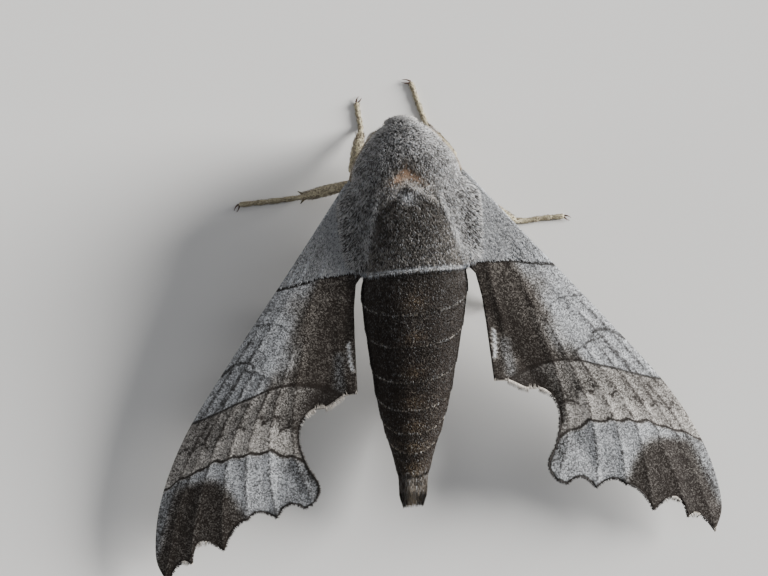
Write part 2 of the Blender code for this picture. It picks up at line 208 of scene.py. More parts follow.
# Each leg's hip, knee and ankle, and the (out, along) of its foot's bends and of its claws' tips.
HINDLEG = (
    (2.8, 12.2, 4.0),
    (6.6, 15.0, 4.6),
    (9.6, 21.0, 1.6),
    ((9.9, 22.2), (10.3, 24.6), (10.9, 27.6), (11.5, 28.2)),
)
LEGS = {
    "foreleg_left": (
        (2.3, 5.0, 4.1),
        (6.0, 4.9, 4.1),
        (4.7, 0.6, 1.5),
        ((4.6, -0.6), (4.75, -2.0), (4.8, -3.3), (4.3, -3.9)),
    ),
    "foreleg_right": (
        (2.3, 5.0, 4.1),
        (5.8, 4.2, 4.1),
        (3.1, 0.5, 1.5),
        ((2.85, -0.8), (2.3, -2.9), (1.75, -5.1), (0.7, -5.3)),
    ),
    "midleg_left": (
        (2.9, 8.2, 4.0),
        (6.2, 6.4, 4.8),
        (11.7, 7.1, 1.5),
        ((13.0, 7.2), (16.0, 7.3), (19.7, 7.35), (20.2, 8.1)),
    ),
    "midleg_right": (
        (2.9, 8.2, 4.0),
        (6.8, 8.7, 4.9),
        (12.1, 12.2, 1.5),
        ((13.3, 12.4), (15.6, 12.3), (18.2, 12.3), (18.9, 12.7)),
    ),
    "hindleg_left": HINDLEG,
    "hindleg_right": HINDLEG,
}
ANTENNA = (
    (2.75, 1.1, 10.3),
    (3.85, 2.0, 9.95),
    (4.85, 3.3, 9.6),
    (5.8, 4.8, 9.4),
    (6.3, 6.3, 9.3),
    (7.1, 8.0, 9.2),
    (8.4, 10.0, 8.8),
    (13.0, 16.6, 7.3),
    (17.6, 24.0, 5.7),
)
# Shares of the feeler's length, and its radius at each.
ANTENNA_RADII = ((0, 0.03, 0.1, 0.7, 0.95, 1), (0.3, 0.34, 0.26, 0.25, 0.15, 0.05))
EYE_CENTRE = (2.95, 2.2, 7.9)
EYE_SIZE = (1.23, 1.45, 1.45)
PALP_ROOT = (1.15, 2.9, 5.35)
PALP_BELLY = (1.05, 1.5, 5.5)
PALP_TIP = (0.9, 0.8, 6.6)
PALP_RADIUS = 0.46
LIMB_SIDES = 14
SEGMENT_ROWS = 9  # the rings along a thigh, and along a shin
FOOT_RADIUS = 0.2


# --- Small helpers ---------------------------------------------------------------------


def curve_value(knots, at):
    """The row of numbers at a place along the knots, by cubic interpolation."""
    last = len(knots) - 2
    i = max(0, min(last, sum(1 for knot in knots if knot[0] <= at) - 1))
    before, start, end, after = knots[max(i - 1, 0)], knots[i], knots[i + 1], knots[min(i + 2, last + 1)]
    width = end[0] - start[0]
    x = min(max((at - start[0]) / width, 0.0), 1.0)
    found = []
    for a, b, c, d in zip(before[1:], start[1:], end[1:], after[1:]):
        slope_in = (c - a) / max(end[0] - before[0], 1e-6) * width
        slope_out = (d - b) / max(after[0] - start[0], 1e-6) * width
        found.append(
            (2 * x**3 - 3 * x**2 + 1) * b
            + (x**3 - 2 * x**2 + x) * slope_in
            + (3 * x**2 - 2 * x**3) * c
            + (x**3 - x**2) * slope_out
        )
    return found


def smooth_path(points, steps):
    knots = [(i, *point) for i, point in enumerate(points)]
    count = (len(points) - 1) * steps
    return [Vector(curve_value(knots, i / steps)) for i in range(count + 1)]


def table_of(knots, step=0.05):
    """The knots' curve sampled finely: places, and one column for each number."""
    places = np.arange(knots[0][0], knots[-1][0] + step / 2, step)
    return places, np.array([curve_value(knots, at) for at in places])


def along_table(table, at):
    places, values = table
    return [np.interp(at, places, column) for column in values.T]


def line_distance(points, path):
    """How far each point is from a bent line, as (distance, share of the line passed)."""
    path = np.array([tuple(p)[:2] for p in path])
    best = np.full(len(points), np.inf)
    share = np.zeros(len(points))
    for i, (a, b) in enumerate(zip(path, path[1:])):
        way = b - a
        x = np.clip(((points - a) @ way) / (way @ way), 0, 1)
        away = np.hypot(*(points - (a + x[:, None] * way)).T)
        closer = away < best
        best[closer] = away[closer]
        share[closer] = (i + x[closer]) / (len(path) - 1)
    return best, share


def ramp(low, high, at):
    """0 below low, 1 above high, and a smooth rise between them."""
    x = np.clip((at - low) / (high - low), 0, 1)
    return x * x * (3 - 2 * x)


def unit(rows):
    """Each row of a table of steps, made one long."""
    return rows / np.maximum(np.linalg.norm(rows, axis=1), 1e-9)[:, None]


def hill(at, middle, width):
    return np.exp(-(((at - middle) / width) ** 2))


def place(out, along, height, side=1):
    """A place on the moth in metres in the frame."""
    return Vector((side * out * MM, (along + CREST) * MM, height * MM))


def show(mesh, name, material, nodes=()):
    piece = bpy.data.objects.new(name, mesh)
    bpy.context.scene.collection.objects.link(piece)
    mesh.materials.append(material)
    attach(piece, "root")
    if nodes:
        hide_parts(*nodes)


def mesh_from(bm, name, fix_normals=True):
    if fix_normals:
        bmesh.ops.recalc_face_normals(bm, faces=bm.faces)
    mesh = bpy.data.meshes.new(name)
    bm.to_mesh(mesh)
    bm.free()
    mesh.shade_smooth()
    return mesh


def set_shade(mesh, values):
    """Stores the tones that the materials read: a row for each vertex, or one for them all."""
    layer = mesh.attributes.new("shade", "FLOAT_COLOR", "POINT")
    rows = np.ones((len(mesh.vertices), 4), np.float32)
    rows[:, :3] = values
    layer.data.foreach_set("color", rows.ravel())


def join_rings(bm, rings):
    """Walls between each ring of vertices and the next."""
    for front, back in zip(rings, rings[1:]):
        for i, vert in enumerate(front):
            j = (i + 1) % len(front)
            bm.faces.new((vert, front[j], back[j], back[i]))


def set_bake_map(mesh, corner_uv):
    layer = mesh.uv_layers.new(name="OFBake")
    layer.uv.foreach_set("vector", np.ascontiguousarray(corner_uv, np.float32).ravel())


def corner_vertices(mesh):
    found = np.empty(len(mesh.loops), np.int32)
    mesh.loops.foreach_get("vertex_index", found)
    return found


# --- Materials -------------------------------------------------------------------------

DARK_SCALE = (0.007, 0.006, 0.005)
DARK_BROWN = (0.015, 0.0085, 0.005)
PALE_SCALE = (0.43, 0.456, 0.49)
PALE_TAN = (0.46, 0.365, 0.245)
BARE_SKIN = (0.15, 0.085, 0.052)
TONE_POWER = 2.2


class Nodes:
    """A short way to add and link the nodes of one material."""

    def __init__(self, name, roughness, shine=0.2, coat=0.0):
        self.material = bpy.data.materials.new(name)
        self.material.use_nodes = True
        self.tree = self.material.node_tree
        self.shader = self.tree.nodes["Principled BSDF"]
        self.shader.inputs["Roughness"].default_value = roughness
        self.shader.inputs["Coat Weight"].default_value = coat
        self.shader.inputs["Specular IOR Level"].default_value = shine

    def add(self, kind, inputs=(), **settings):
        node = self.tree.nodes.new(kind)
        for key, value in settings.items():
            setattr(node, key, value)
        for key, value in dict(inputs).items():
            if isinstance(value, bpy.types.NodeSocket):
                self.tree.links.new(value, node.inputs[key])
            else:
                node.inputs[key].default_value = value
        return node

    def math(self, operation, first, second=0.0, clamp=False):
        node = self.add("ShaderNodeMath", {0: first, 1: second}, operation=operation, use_clamp=clamp)
        return node.outputs[0]

    def mix(self, share, first, second):
        node = self.add("ShaderNodeMix", data_type="RGBA")
        for key, value in (("Factor", share), ("A", first), ("B", second)):
            sockets = [socket for socket in node.inputs if socket.name == key and socket.enabled]
            if isinstance(value, bpy.types.NodeSocket):
                self.tree.links.new(value, sockets[0])
            else:
                sockets[0].default_value = (*value, 1.0) if isinstance(value, tuple) else value
        return next(socket for socket in node.outputs if socket.enabled)

    def smooth(self, value, low, high, start=0.0, end=1.0):
        sockets = {"Value": value, "From Min": low, "From Max": high, "To Min": start, "To Max": end}
        node = self.add("ShaderNodeMapRange", sockets, interpolation_type="SMOOTHSTEP")
        return node.outputs[0]

    def attribute(self, name):
        node = self.add("ShaderNodeAttribute", attribute_name=name)
        parts = self.add("ShaderNodeSeparateColor", {"Color": node.outputs["Color"]})
        return parts.outputs

    def object_place(self):
        return self.add("ShaderNodeTexCoord").outputs["Object"]

    def noise(self, size, detail=2.0):
        sockets = {"Vector": self.object_place(), "Scale": 1 / (size * MM), "Detail": detail}
        return self.add("ShaderNodeTexNoise", sockets).outputs["Fac"]

    def cells(self, size):
        sockets = {"Vector": self.object_place(), "Scale": 1 / (size * MM)}
        node = self.add("ShaderNodeTexVoronoi", sockets)
        parts = self.add("ShaderNodeSeparateColor", {"Color": node.outputs["Color"]})
        return parts.outputs, node.outputs["Distance"]

    def bump(self, height, distance, strength=1.0):
        sockets = {"Height": height, "Distance": distance * MM, "Strength": strength}
        node = self.add("ShaderNodeBump", sockets)
        self.tree.links.new(node.outputs["Normal"], self.shader.inputs["Normal"])

    def colour(self, socket):
        self.tree.links.new(socket, self.shader.inputs["Base Color"])


def toned(nodes, tone, brown):
    """The colour of a tone from 0, black, to 1, pale, which the eye sees as even steps."""
    share = nodes.math("POWER", tone, TONE_POWER)
    dark = nodes.mix(brown, DARK_SCALE, DARK_BROWN)
    pale = nodes.mix(brown, PALE_SCALE, PALE_TAN)
    return nodes.mix(share, dark, pale)


def dusted(nodes, lightness, brown, cell, ink=None, grain=0.58):
    """Fine scales, each a little darker or paler than its neighbours, with ink drawn over them."""
    chances, distance = nodes.cells(cell)
    fine = nodes.math("MULTIPLY", nodes.math("SUBTRACT", chances["Red"], 0.5), grain)
    worms = nodes.math("MULTIPLY", nodes.math("SUBTRACT", nodes.noise(0.24, 2.0), 0.5), 0.36)
    clouds = nodes.math("MULTIPLY", nodes.math("SUBTRACT", nodes.noise(1.6), 0.5), 0.35)
    speck = nodes.math("ADD", nodes.math("ADD", fine, worms), clouds)
    strength = nodes.smooth(lightness, 0.0, 0.6, 0.95, 1.0)
    tone = nodes.math("ADD", lightness, nodes.math("MULTIPLY", speck, strength))
    if ink is not None:
        tone = nodes.math("MULTIPLY", tone, nodes.math("SUBTRACT", 1.0, ink))
    tone = nodes.math("ADD", tone, 0.0, clamp=True)
    relief = nodes.math("SUBTRACT", nodes.math("MULTIPLY", chances["Blue"], 0.6), distance)
    return toned(nodes, tone, brown), relief


def make_wing_material():
    """Dusted scales with the dark lines, the veins and the dark rim drawn through them."""
    nodes = Nodes("wing_scales", 0.72)
    tone = nodes.attribute("shade")
    bands = nodes.attribute("bands")
    fine = nodes.attribute("fine_lines")
    wobble = nodes.math("MULTIPLY", nodes.math("SUBTRACT", nodes.noise(0.3), 0.5), 0.4)
    ink = None
    for socket, width, strength in (
        (bands["Red"], 0.2, 0.8),
        (bands["Green"], 0.16, 0.7),
        (bands["Blue"], 0.16, 0.78),
        (fine["Red"], 0.22, 0.62),
        (fine["Green"], 0.1, 0.6),
        (fine["Blue"], 0.18, 0.8),
    ):
        away = nodes.math("ADD", nodes.math("ABSOLUTE", socket), wobble)
        line = nodes.smooth(away, width - 0.12, width + 0.16, strength, 0.0)
        if socket is fine["Green"]:
            line = nodes.math("MULTIPLY", line, nodes.math("SUBTRACT", 1.0, tone["Blue"]))
        ink = line if ink is None else nodes.math("MAXIMUM", ink, line)
    pale_vein = nodes.smooth(nodes.math("ABSOLUTE", fine["Green"]), 0.03, 0.18, 0.6, 0.0)
    lightness = nodes.math("ADD", tone["Red"], nodes.math("MULTIPLY", pale_vein, tone["Blue"]))
    surface, relief = dusted(nodes, lightness, tone["Green"], 0.13, ink)
    nodes.colour(surface)
    nodes.bump(relief, 0.04, 0.6)
    return nodes.material


def make_skin_material():
    nodes = Nodes("body_scales", 0.8)
    tone = nodes.attribute("shade")
    surface, relief = dusted(nodes, nodes.math("MULTIPLY", tone["Red"], 0.75), tone["Green"], 0.15)
    bare = nodes.mix(nodes.noise(0.25), BARE_SKIN, (0.24, 0.165, 0.115))
    nodes.colour(nodes.mix(tone["Blue"], surface, bare))
    nodes.bump(relief, 0.06, 0.8)
    return nodes.material


def make_coat_material():
    """Each tuft's own tone, darker at its root."""
    nodes = Nodes("scale_hair", 0.62)
    tone = nodes.attribute("shade")
    rise = nodes.smooth(tone["Blue"], 0.0, 1.0, 0.95, 1.3)
    nodes.colour(toned(nodes, nodes.math("MULTIPLY", tone["Red"], rise), tone["Green"]))
    return nodes.material


def make_leg_material():
    nodes = Nodes("leg_scales", 0.6)
    tone = nodes.attribute("shade")
    chances, distance = nodes.cells(0.11)
    speck = nodes.math("MULTIPLY", chances["Red"], 0.45)
    level = nodes.math("ADD", speck, nodes.math("MULTIPLY", nodes.noise(0.5), 0.6))
    pale = nodes.mix(nodes.smooth(level, 0.25, 0.75), (0.16, 0.13, 0.085), (0.42, 0.38, 0.26))
    nodes.colour(nodes.mix(tone["Red"], (0.05, 0.034, 0.02), pale))
    nodes.bump(nodes.math("SUBTRACT", 1.0, distance), 0.03, 0.7)
    return nodes.material


def make_antenna_material():
    """Pale grey scales over a brown shaft."""
    nodes = Nodes("antenna_scales", 0.6)
    level = nodes.noise(0.25, 3.0)
    nodes.colour(nodes.mix(nodes.smooth(level, 0.35, 0.65), (0.1, 0.075, 0.05), (0.3, 0.27, 0.22)))
    nodes.bump(nodes.noise(0.09), 0.02, 0.8)
    return nodes.material


def make_eye_material():
    """Tiny six-sided facets over a dark glossy globe, with a brown bloom."""
    nodes = Nodes("compound_eye", 0.22, shine=0.5, coat=0.5)
    _, distance = nodes.cells(0.075)
    bloom = nodes.mix(nodes.noise(0.9), (0.008, 0.005, 0.004), (0.035, 0.018, 0.011))
    nodes.colour(bloom)
    nodes.bump(nodes.math("SUBTRACT", 1.0, distance), 0.01, 0.5)
    return nodes.material


def make_claw_material():
    nodes = Nodes("claw_horn", 0.3, shine=0.5)
    nodes.colour(nodes.mix(nodes.noise(0.2), (0.03, 0.014, 0.007), (0.09, 0.04, 0.02)))
    return nodes.material


def make_floor_material():
    nodes = Nodes("pale_floor", 0.8)
    nodes.colour(nodes.mix(nodes.noise(40.0), (0.66, 0.65, 0.63), (0.7, 0.69, 0.67)))
    return nodes.material


# --- The body's surface and markings ---------------------------------------------------

FORE_TABLE = table_of(FORE_SECTIONS)
HIND_TABLE = table_of(HIND_SECTIONS)


def body_size(along):
    """Half width, top and bottom of the body, with the waist eased between thorax and abdomen."""
    fore = along_table(FORE_TABLE, along)
    hind = along_table(HIND_TABLE, along)
    share = ramp(THORAX_END - 0.5, THORAX_END + 1.5, along)
    return [a + (b - a) * share for a, b in zip(fore, hind)]


def tegula_edge(along):
    """How far out the inner edge of the shoulder plate lies."""
    return 3.3 + 0.62 * (1 - np.exp(-(along - 8.0) / 2.2)) * (1 + 0.38 * np.clip(along - 8.0, 0, 9))


def plate_share(along):
    """The place within its abdominal plate, from 0 at the front edge to 1 at the hind edge."""
    share = np.zeros_like(along)
    for start, end in zip(ABDOMEN_EDGES, (*ABDOMEN_EDGES[1:], BODY_END)):
        inside = (along >= start) & (along < end)
        share = np.where(inside, (along - start) / (end - start), share)
    return share


def body_relief(out, along, up):
    """The shoulder plates' rims, the neck's crease and the crest's hollow, in millimetres."""
    upper = ramp(-0.1, 0.4, up)
    shoulder = ramp(7.6, 9.0, along) * (1 - ramp(16.2, 17.0, along)) * upper
    rim = np.abs(out) - tegula_edge(along)
    relief = shoulder * (0.1 * ramp(-0.5, 0.3, rim) - 0.08 * hill(rim, -0.4, 0.4))
    relief = relief - 0.35 * hill(along, 6.9, 1.0) * hill(out, 0.0, 1.7) * upper
    relief = relief + 0.3 * hill(along, 8.1, 0.5) * hill(out, 0.0, 0.9) * upper
    abdomen = ramp(THORAX_END, THORAX_END + 0.4, along)
    return relief + abdomen * (0.09 * plate_share(along) ** 2 - 0.04)


def wing_skirt(along, up):
    """The scales that run from the thorax out over the wing's root."""
    reach = ramp(6.0, 9.5, along) * (1 - ramp(16.2, 17.2, along))
    return SKIRT_REACH * reach * hill(up, 0.27, 0.16)


def plate_sag(along):
    """How much further forward a plate's edge lies at the sides than on the midline."""
    return 2.4 * ramp(THORAX_END, 21.0, along) * (1 - ramp(38.0, 41.5, along))


def body_place(angle, along, depth):
    """Places on the body at a depth inside its coat, in millimetres, with out and up shares."""
    cosine, sine = np.cos(angle), np.sin(angle)
    power = np.where(sine >= 0, UPPER_POWER, LOWER_POWER)
    across = np.sign(cosine) * np.abs(cosine) ** (2 / power)
    up = np.sign(sine) * np.abs(sine) ** (2 / power)
    back = along - plate_sag(along) * (1 - np.clip(up, 0, 1))
    half, top, bottom = body_size(back)
    lean = EDGE_TILT * ramp(THORAX_END, 25.6, back) * (1 - ramp(40.2, BODY_END, back))
    top = body_size(back - lean)[1]
    middle = bottom + MIDDLE_SHARE * (top - bottom)
    out = half * across
    grow = body_relief(out, along, up) - depth
    reach = np.where(up > 0, top - middle, middle - bottom)
    x = (half + grow + wing_skirt(along, up)) * across + ABDOMEN_SKEW * np.maximum(back - THORAX_END, 0)
    z = middle + (reach + grow) * up
    return np.stack([x, back, z], -1), out, up


def fore_shade(out, along, up):
    """Lightness, brownness and bareness of the head, the collar and the thorax."""
    upper = ramp(-0.15, 0.35, up)
    away = np.abs(out)
    rim = away - tegula_edge(along)
    # The pale crown, with a darker patch behind it.
    light = 0.58 - 0.22 * hill(along, 5.2, 0.9) * hill(out, -0.6, 2.2) * upper
    light = light + 0.16 * (1 - ramp(1.2, 3.5, along)) * upper
    # Painted shade darkens the steep sides of the head and collar.
    light = light - 0.04 * hill(away, 4.6, 1.6) * hill(along, 7.0, 3.5)
    # The dark back between the shoulder plates, and the plates' rims: their own pale edge, with a painted
    # highlight that makes the right rim much paler than the left.
    back = ramp(-0.6, 1.4, along - 9.2 + 0.25 * away) * (1 - ramp(-0.5, 0.15, rim)) * upper
    light = light + (0.34 + 0.1 * ramp(12.0, 16.0, along) - light) * back
    rim_edge_and_highlight = hill(rim, 0.15, 0.24) * ramp(8.0, 9.0, along) * upper * (along < THORAX_END)
    light = light + (0.6 - 0.45 * ramp(0.0, 2.0, out)) * rim_edge_and_highlight
    light = light - 0.1 * hill(rim, 0.95, 0.5) * ramp(8.0, 9.5, along) * upper
    # The white fringe behind the thorax, the skirt over the wing's root, and the belly.
    fringe = ramp(16.5, 16.75, along) * upper
    light = light + fringe
    light = light + 0.06 * wing_skirt(along, up) / SKIRT_REACH + 0.14 * hill(up, 0.05, 0.25)
    brown = 0.26 + 0.2 * back - 0.36 * fringe
    belly = 1 - upper
    light = light + (0.6 - light) * belly
    brown = brown + (0.6 - brown) * belly
    # The bald arch, the pale fold behind it, and the bluish spot.
    arch = along - 6.1 - 0.55 * away
    bare = hill(arch, 0.0, 0.85) * hill(out, 0.15, 2.3) * upper
    fold = along - 7.1 - 0.75 * away
    crease = 0.6 * hill(fold, 0.0, 0.3) - 0.26 * hill(fold, 0.95, 0.45)
    light = light + crease * hill(out, 0.0, 3.0) * upper
    spot = hill(along, 8.9, 0.62) * hill(out, 0.1, 0.75) * upper
    light = light + 0.55 * spot
    brown = brown + 0.35 * hill(arch, 0.0, 1.6) * hill(out, 0.0, 2.6) * upper - 0.2 * spot
    return light, brown, bare


def abdomen_shade(out, along, up):
    """Lightness and brownness of the abdomen and the tail's tuft."""
    upper = ramp(-0.15, 0.35, up)
    away = np.abs(out)
    share = plate_share(along)
    side = away / np.maximum(body_size(along)[0], 0.1)
    dark = 0.17 - 0.06 * ramp(18.0, 24.0, along) + 0.07 * ramp(28.0, 39.0, along) + 0.2 * (1 - upper)
    # Painted shade darkens the upper sides of the abdomen.
    dark = dark - 0.09 * ramp(0.5, 1.0, side) * upper
    # Each plate's pale hind edge, which is brightest at the sides.
    dark = dark + (0.22 + 0.22 * ramp(0.3, 0.8, side)) * ramp(0.94, 0.975, share) * (along < 40.0)
    # Two pale spots on the midline, and the tail's pale middle between dark sides.
    dark = dark + 0.12 * hill(along, 23.0, 0.8) * hill(out, 0.0, 0.9) * upper
    dark = dark + 0.1 * hill(along, 36.4, 1.0) * hill(out, 0.0, 0.7) * upper
    dark = dark + 0.4 * ramp(39.4, 41.0, along) * (0.3 + hill(out, 0.1, 0.7)) * upper
    dark = dark + 0.3 * ramp(42.0, 42.7, along) * hill(out, 0.0, 0.6)
    dark = dark - 0.3 * ramp(42.4, 42.9, along) * hill(away, 1.05, 0.4)
    median = hill(out, 0.0, 1.4) * hill(share, 0.7, 0.25) * upper * ramp(17.5, 19.0, along)
    earth = 0.5 + 0.15 * ramp(26.0, 36.0, along) + 0.5 * median
    return dark + 0.14 * median, earth


def body_shade(out, along, up):
    """The coat's lightness, brownness and bareness at places on the body."""
    light, brown, bare = fore_shade(out, along, up)
    dark, earth = abdomen_shade(out, along, up)
    tail = ramp(THORAX_END + 0.1, THORAX_END + 0.4, along)
    light = light + (dark - light) * tail
    brown = brown + (earth - brown) * tail
    return np.stack([np.clip(light, 0, 1), np.clip(brown, 0, 1), np.clip(bare * (1 - tail), 0, 1)], -1)


def coat_depth(along):
    fore = 0.3 + 0.06 * ramp(2.0, 8.0, along)
    return fore + (0.2 - fore) * ramp(THORAX_END - 0.3, THORAX_END + 0.3, along)


def bake_place(angle, along):
    """The skin's own unwrap: round the body across the map, and along it down the map."""
    around = (angle / (2 * math.pi) + 0.25) % 1.0
    return np.stack([SEAM_SHARE * around, np.clip(along / MAP_LENGTH, 0, 1)], -1)


def build_skin(material):
    """One closed skin from the face to the tail, lying inside the coat."""
    shares = np.linspace(0, 1, SKIN_ROWS)
    rows = SKIN_START + (SKIN_END - SKIN_START) * (0.35 * shares**2 + 0.65 * shares)
    angles = np.arange(SKIN_POINTS) * 2 * math.pi / SKIN_POINTS - math.pi / 2
    bm = bmesh.new()
    loops = []
    shade = []
    for along in rows:
        wide = np.full(SKIN_POINTS, along)
        spots, out, up = body_place(angles, wide, coat_depth(wide))
        loops.append([bm.verts.new(place(*spot)) for spot in spots])
        shade.append(body_shade(out, wide, up))
    join_rings(bm, loops)
    places = list(rows)
    for loop, tone, way, start in (
        (loops[0], shade[0], -1, SKIN_START),
        (loops[-1], shade[SKIN_ROWS - 1], 1, SKIN_END),
    ):
        middle = sum((vert.co for vert in loop), Vector()) / SKIN_POINTS
        last = loop
        for share in CAP_SHARES:
            shift = Vector((0, way * CAP_REACH * MM * math.sqrt(1 - share**2), 0))
            ring = [bm.verts.new(middle.lerp(vert.co, share) + shift) for vert in loop]
            join_rings(bm, [last, ring])
            places.append(start + way * (1 - share) * CAP_ON_MAP)
            shade.append(tone)
            last = ring
        bmesh.ops.poke(bm, faces=[bm.faces.new(last)])
    shade.append(shade[0][:1])
    shade.append(shade[SKIN_ROWS - 1][:1])
    mesh = mesh_from(bm, "body_skin")
    set_shade(mesh, np.concatenate(shade))
    corners = corner_vertices(mesh)
    row, column = corners // SKIN_POINTS, corners % SKIN_POINTS
    poles = row >= len(places)
    along = np.array(places)[np.minimum(row, len(places) - 1)]
    pole_places = np.where(column == 0, SKIN_START - POLE_ON_MAP, SKIN_END + POLE_ON_MAP)
    along = np.where(poles, pole_places, along)
    uv = np.stack([column / SKIN_POINTS, along / MAP_LENGTH], -1)
    set_bake_map(mesh, wrap_seam(mesh, uv, poles))
    nodes = ["head", "collar", "thorax", "tegula_left", "tegula_right", "tail_tuft"]
    nodes += [f"abdomen_{i}" for i in range(1, 8)]
    show(mesh, "body_skin", material, nodes)


def wrap_seam(mesh, uv, poles):
    """Carries each face that crosses the map's seam over its edge, so that none runs across the map."""
    for face in mesh.polygons:
        span = range(face.loop_start, face.loop_start + face.loop_total)
        around = [uv[i, 0] for i in span if not poles[i]]
        if max(around) - min(around) > 0.5:
            for i in span:
                if uv[i, 0] < 0.5:
                    uv[i, 0] += 1.0
        for i in span:
            if poles[i]:
                uv[i, 0] = sum(uv[k, 0] for k in span if not poles[k]) / 2
    uv[:, 0] *= SEAM_SHARE
    return uv


# --- The coat --------------------------------------------------------------------------

PATCH = 0.003
WIDEST_GIRTH = 12.6
FRINGE_COUNT = 1700  # the tufts along each plate's hind edge


def make_tufts(name, roots, ways, normals, lengths, widths, shades, places, material, slot):
    """A joined mesh of closed pointed tufts, each with its own tone and its own patch of the map."""
    count = len(roots)
    across = unit(np.cross(ways, normals))
    lift = np.cross(across, ways)
    half = 0.5 * widths[:, None]
    verts = np.empty((count, 4, 3))
    verts[:, 0] = roots + half * across
    verts[:, 1] = roots - half * across
    verts[:, 2] = roots + half * lift + 0.35 * lengths[:, None] * ways
    verts[:, 3] = roots + lengths[:, None] * ways
    flat = verts.reshape(-1, 3) * MM
    flat[:, 1] += CREST * MM
    first, second, third = (verts[:, i] - verts[:, 0] for i in (1, 2, 3))
    volume = np.einsum("ij,ij->i", np.cross(first, second), third)
    sides = np.array([(0, 2, 1), (0, 1, 3), (1, 2, 3), (2, 0, 3)])
    turned = np.where((volume < 0)[:, None, None], sides[:, ::-1], sides)
    faces = (np.arange(count)[:, None, None] * 4 + turned).reshape(-1, 3)
    mesh = bpy.data.meshes.new(name)
    mesh.vertices.add(len(flat))
    mesh.vertices.foreach_set("co", flat.astype(np.float32).ravel())
    mesh.loops.add(faces.size)
    mesh.loops.foreach_set("vertex_index", faces.astype(np.int32).ravel())
    mesh.polygons.add(len(faces))
    mesh.polygons.foreach_set("loop_start", np.arange(0, faces.size, 3, dtype=np.int32))
    mesh.update(calc_edges=True)
    mesh.validate()
    rows = np.repeat(shades[:, None, :], 4, 1)
    rows[:, :, 2] = (0.0, 0.0, 0.45, 1.0)
    set_shade(mesh, rows.reshape(-1, 3))
    corner = np.array([(0.0, 0.0), (1.0, 0.0), (0.5, 0.4), (0.5, 1.0)])
    spots = places[:, None, :] * (1 - PATCH) + corner * PATCH
    set_bake_map(mesh, spots.reshape(-1, 2)[corner_vertices(mesh)])
    show(mesh, name, material)


def body_frame(angle, along, depth):
    """Root places on the body with the way back along it and the way out of it."""
    root, out, up = body_place(angle, along, depth)
    back, _, _ = body_place(angle, along + 0.15, depth)
    round_it, _, _ = body_place(angle + 0.02, along, depth)
    back = unit(back - root)
    normal = unit(np.cross(round_it - root, back))
    outward = np.stack([out, np.zeros_like(out), up * 5.0], -1)
    normal *= np.where((normal * outward).sum(1) < 0, -1.0, 1.0)[:, None]
    return root, back, normal, out, up


def scattered(chance, count, start, end):
    """Random places on the body between two sections, spread evenly over its skin."""
    tries = chance.random((count * 4, 3))
    along = start + (end - start) * tries[:, 0]
    half, top, bottom = body_size(along)
    girth = half + (top - bottom) / 2
    kept = tries[:, 2] < girth / WIDEST_GIRTH
    angle = 2 * math.pi * tries[:, 1]
    return angle[kept][:count], along[kept][:count]


def coat_band(name, seed, count, start, end, look, material, slot):
    """Tufts over a stretch of the body. look gives length, width, lift and spread at each root."""
    chance = np.random.default_rng(seed)
    angle, along = scattered(chance, count, start, end)
    coat_at(name, chance, angle, along, look, material, slot)


def coat_at(name, chance, angle, along, look, material, slot):
    """Tufts at given roots: each leans back with a stray of its own, and has a tone of its own."""
    root, back, normal, out, up = body_frame(angle, along, coat_depth(along) + 0.05)
    tone = body_shade(out, along, up)
    length, width, lift, spread = look(out, along, up)
    haired = chance.random(len(along)) > np.clip(tone[:, 2] * 1.25, 0, 0.9)
    side = np.cross(back, normal)
    count = len(along)
    lift = lift * (0.6 + 0.8 * chance.random(count))
    stray = spread * chance.normal(0, 1, count)
    spread_out = wing_skirt(along, up) / SKIRT_REACH * np.sign(out)
    way = back + normal * np.tan(lift)[:, None] + side * stray[:, None]
    way = unit(way + 1.5 * spread_out[:, None] * np.array((1.0, 0.0, -0.12)))
    length = length * (0.7 + 0.6 * chance.random(count))
    width = width * (0.75 + 0.5 * chance.random(count))
    spread_of_tone = 1.34 - 0.8 * ramp(0.75, 1.0, tone[:, 0])
    grain = tone[:, 0] * (1 + spread_of_tone * (chance.random(count) - 0.5))
    pale = chance.random(count) < 0.12 + 0.1 * tone[:, 1] - 0.05 * (along > 24.0)
    speck = (0.22 + 0.08 * (along > THORAX_END)) * pale
    drift = 0.2 * np.sin(2.3 * root[:, 0] + 1.7 * np.sin(1.9 * along)) * np.sin(2.9 * along + root[:, 0])
    light = np.clip(grain + speck + drift * tone[:, 0], 0.02, 1)
    shades = np.stack([light, np.where(pale, 0.4 * tone[:, 1], tone[:, 1]), np.zeros(count)], -1)
    rows = (root, way, normal, length, width, shades, bake_place(angle, along))
    make_tufts(name, *(row[haired] for row in rows), material, slot)


def build_face_coat(material):
    """Short hair over the rounded front of the head, which fans out to join the rest."""
    chance = np.random.default_rng(16)
    count = 4200
    angle = 2 * math.pi * chance.random(count)
    start = np.full(count, SKIN_START)
    edge, out, up = body_place(angle, start, coat_depth(start))
    middle = edge.mean(0)
    share = np.sqrt(chance.random(count))[:, None]
    root = middle + (edge - middle) * share
    root[:, 1] -= CAP_REACH * np.sqrt(1 - np.minimum(share[:, 0], 1) ** 2) - 0.03
    fanned = (edge - middle) / 1.5 * (0.3 + share)
    way = unit(fanned + chance.normal(0, 0.25, (count, 3)) + (0.0, -0.8, 0.25))
    normal = np.tile((0.0, -0.4, 1.0), (count, 1))
    tone = body_shade(out, start, up)
    light = np.clip(tone[:, 0] * (0.4 + 1.2 * chance.random(count)), 0, 1)
    shades = np.stack([light, tone[:, 1], np.zeros(count)], -1)
    lengths = 0.42 + 0.3 * chance.random(count)
    widths = np.full(count, 0.12)
    rows = (root, way, normal, lengths, widths, shades, bake_place(angle, start * share[:, 0]))
    make_tufts("face_coat", *rows, material, "thorax_coat")


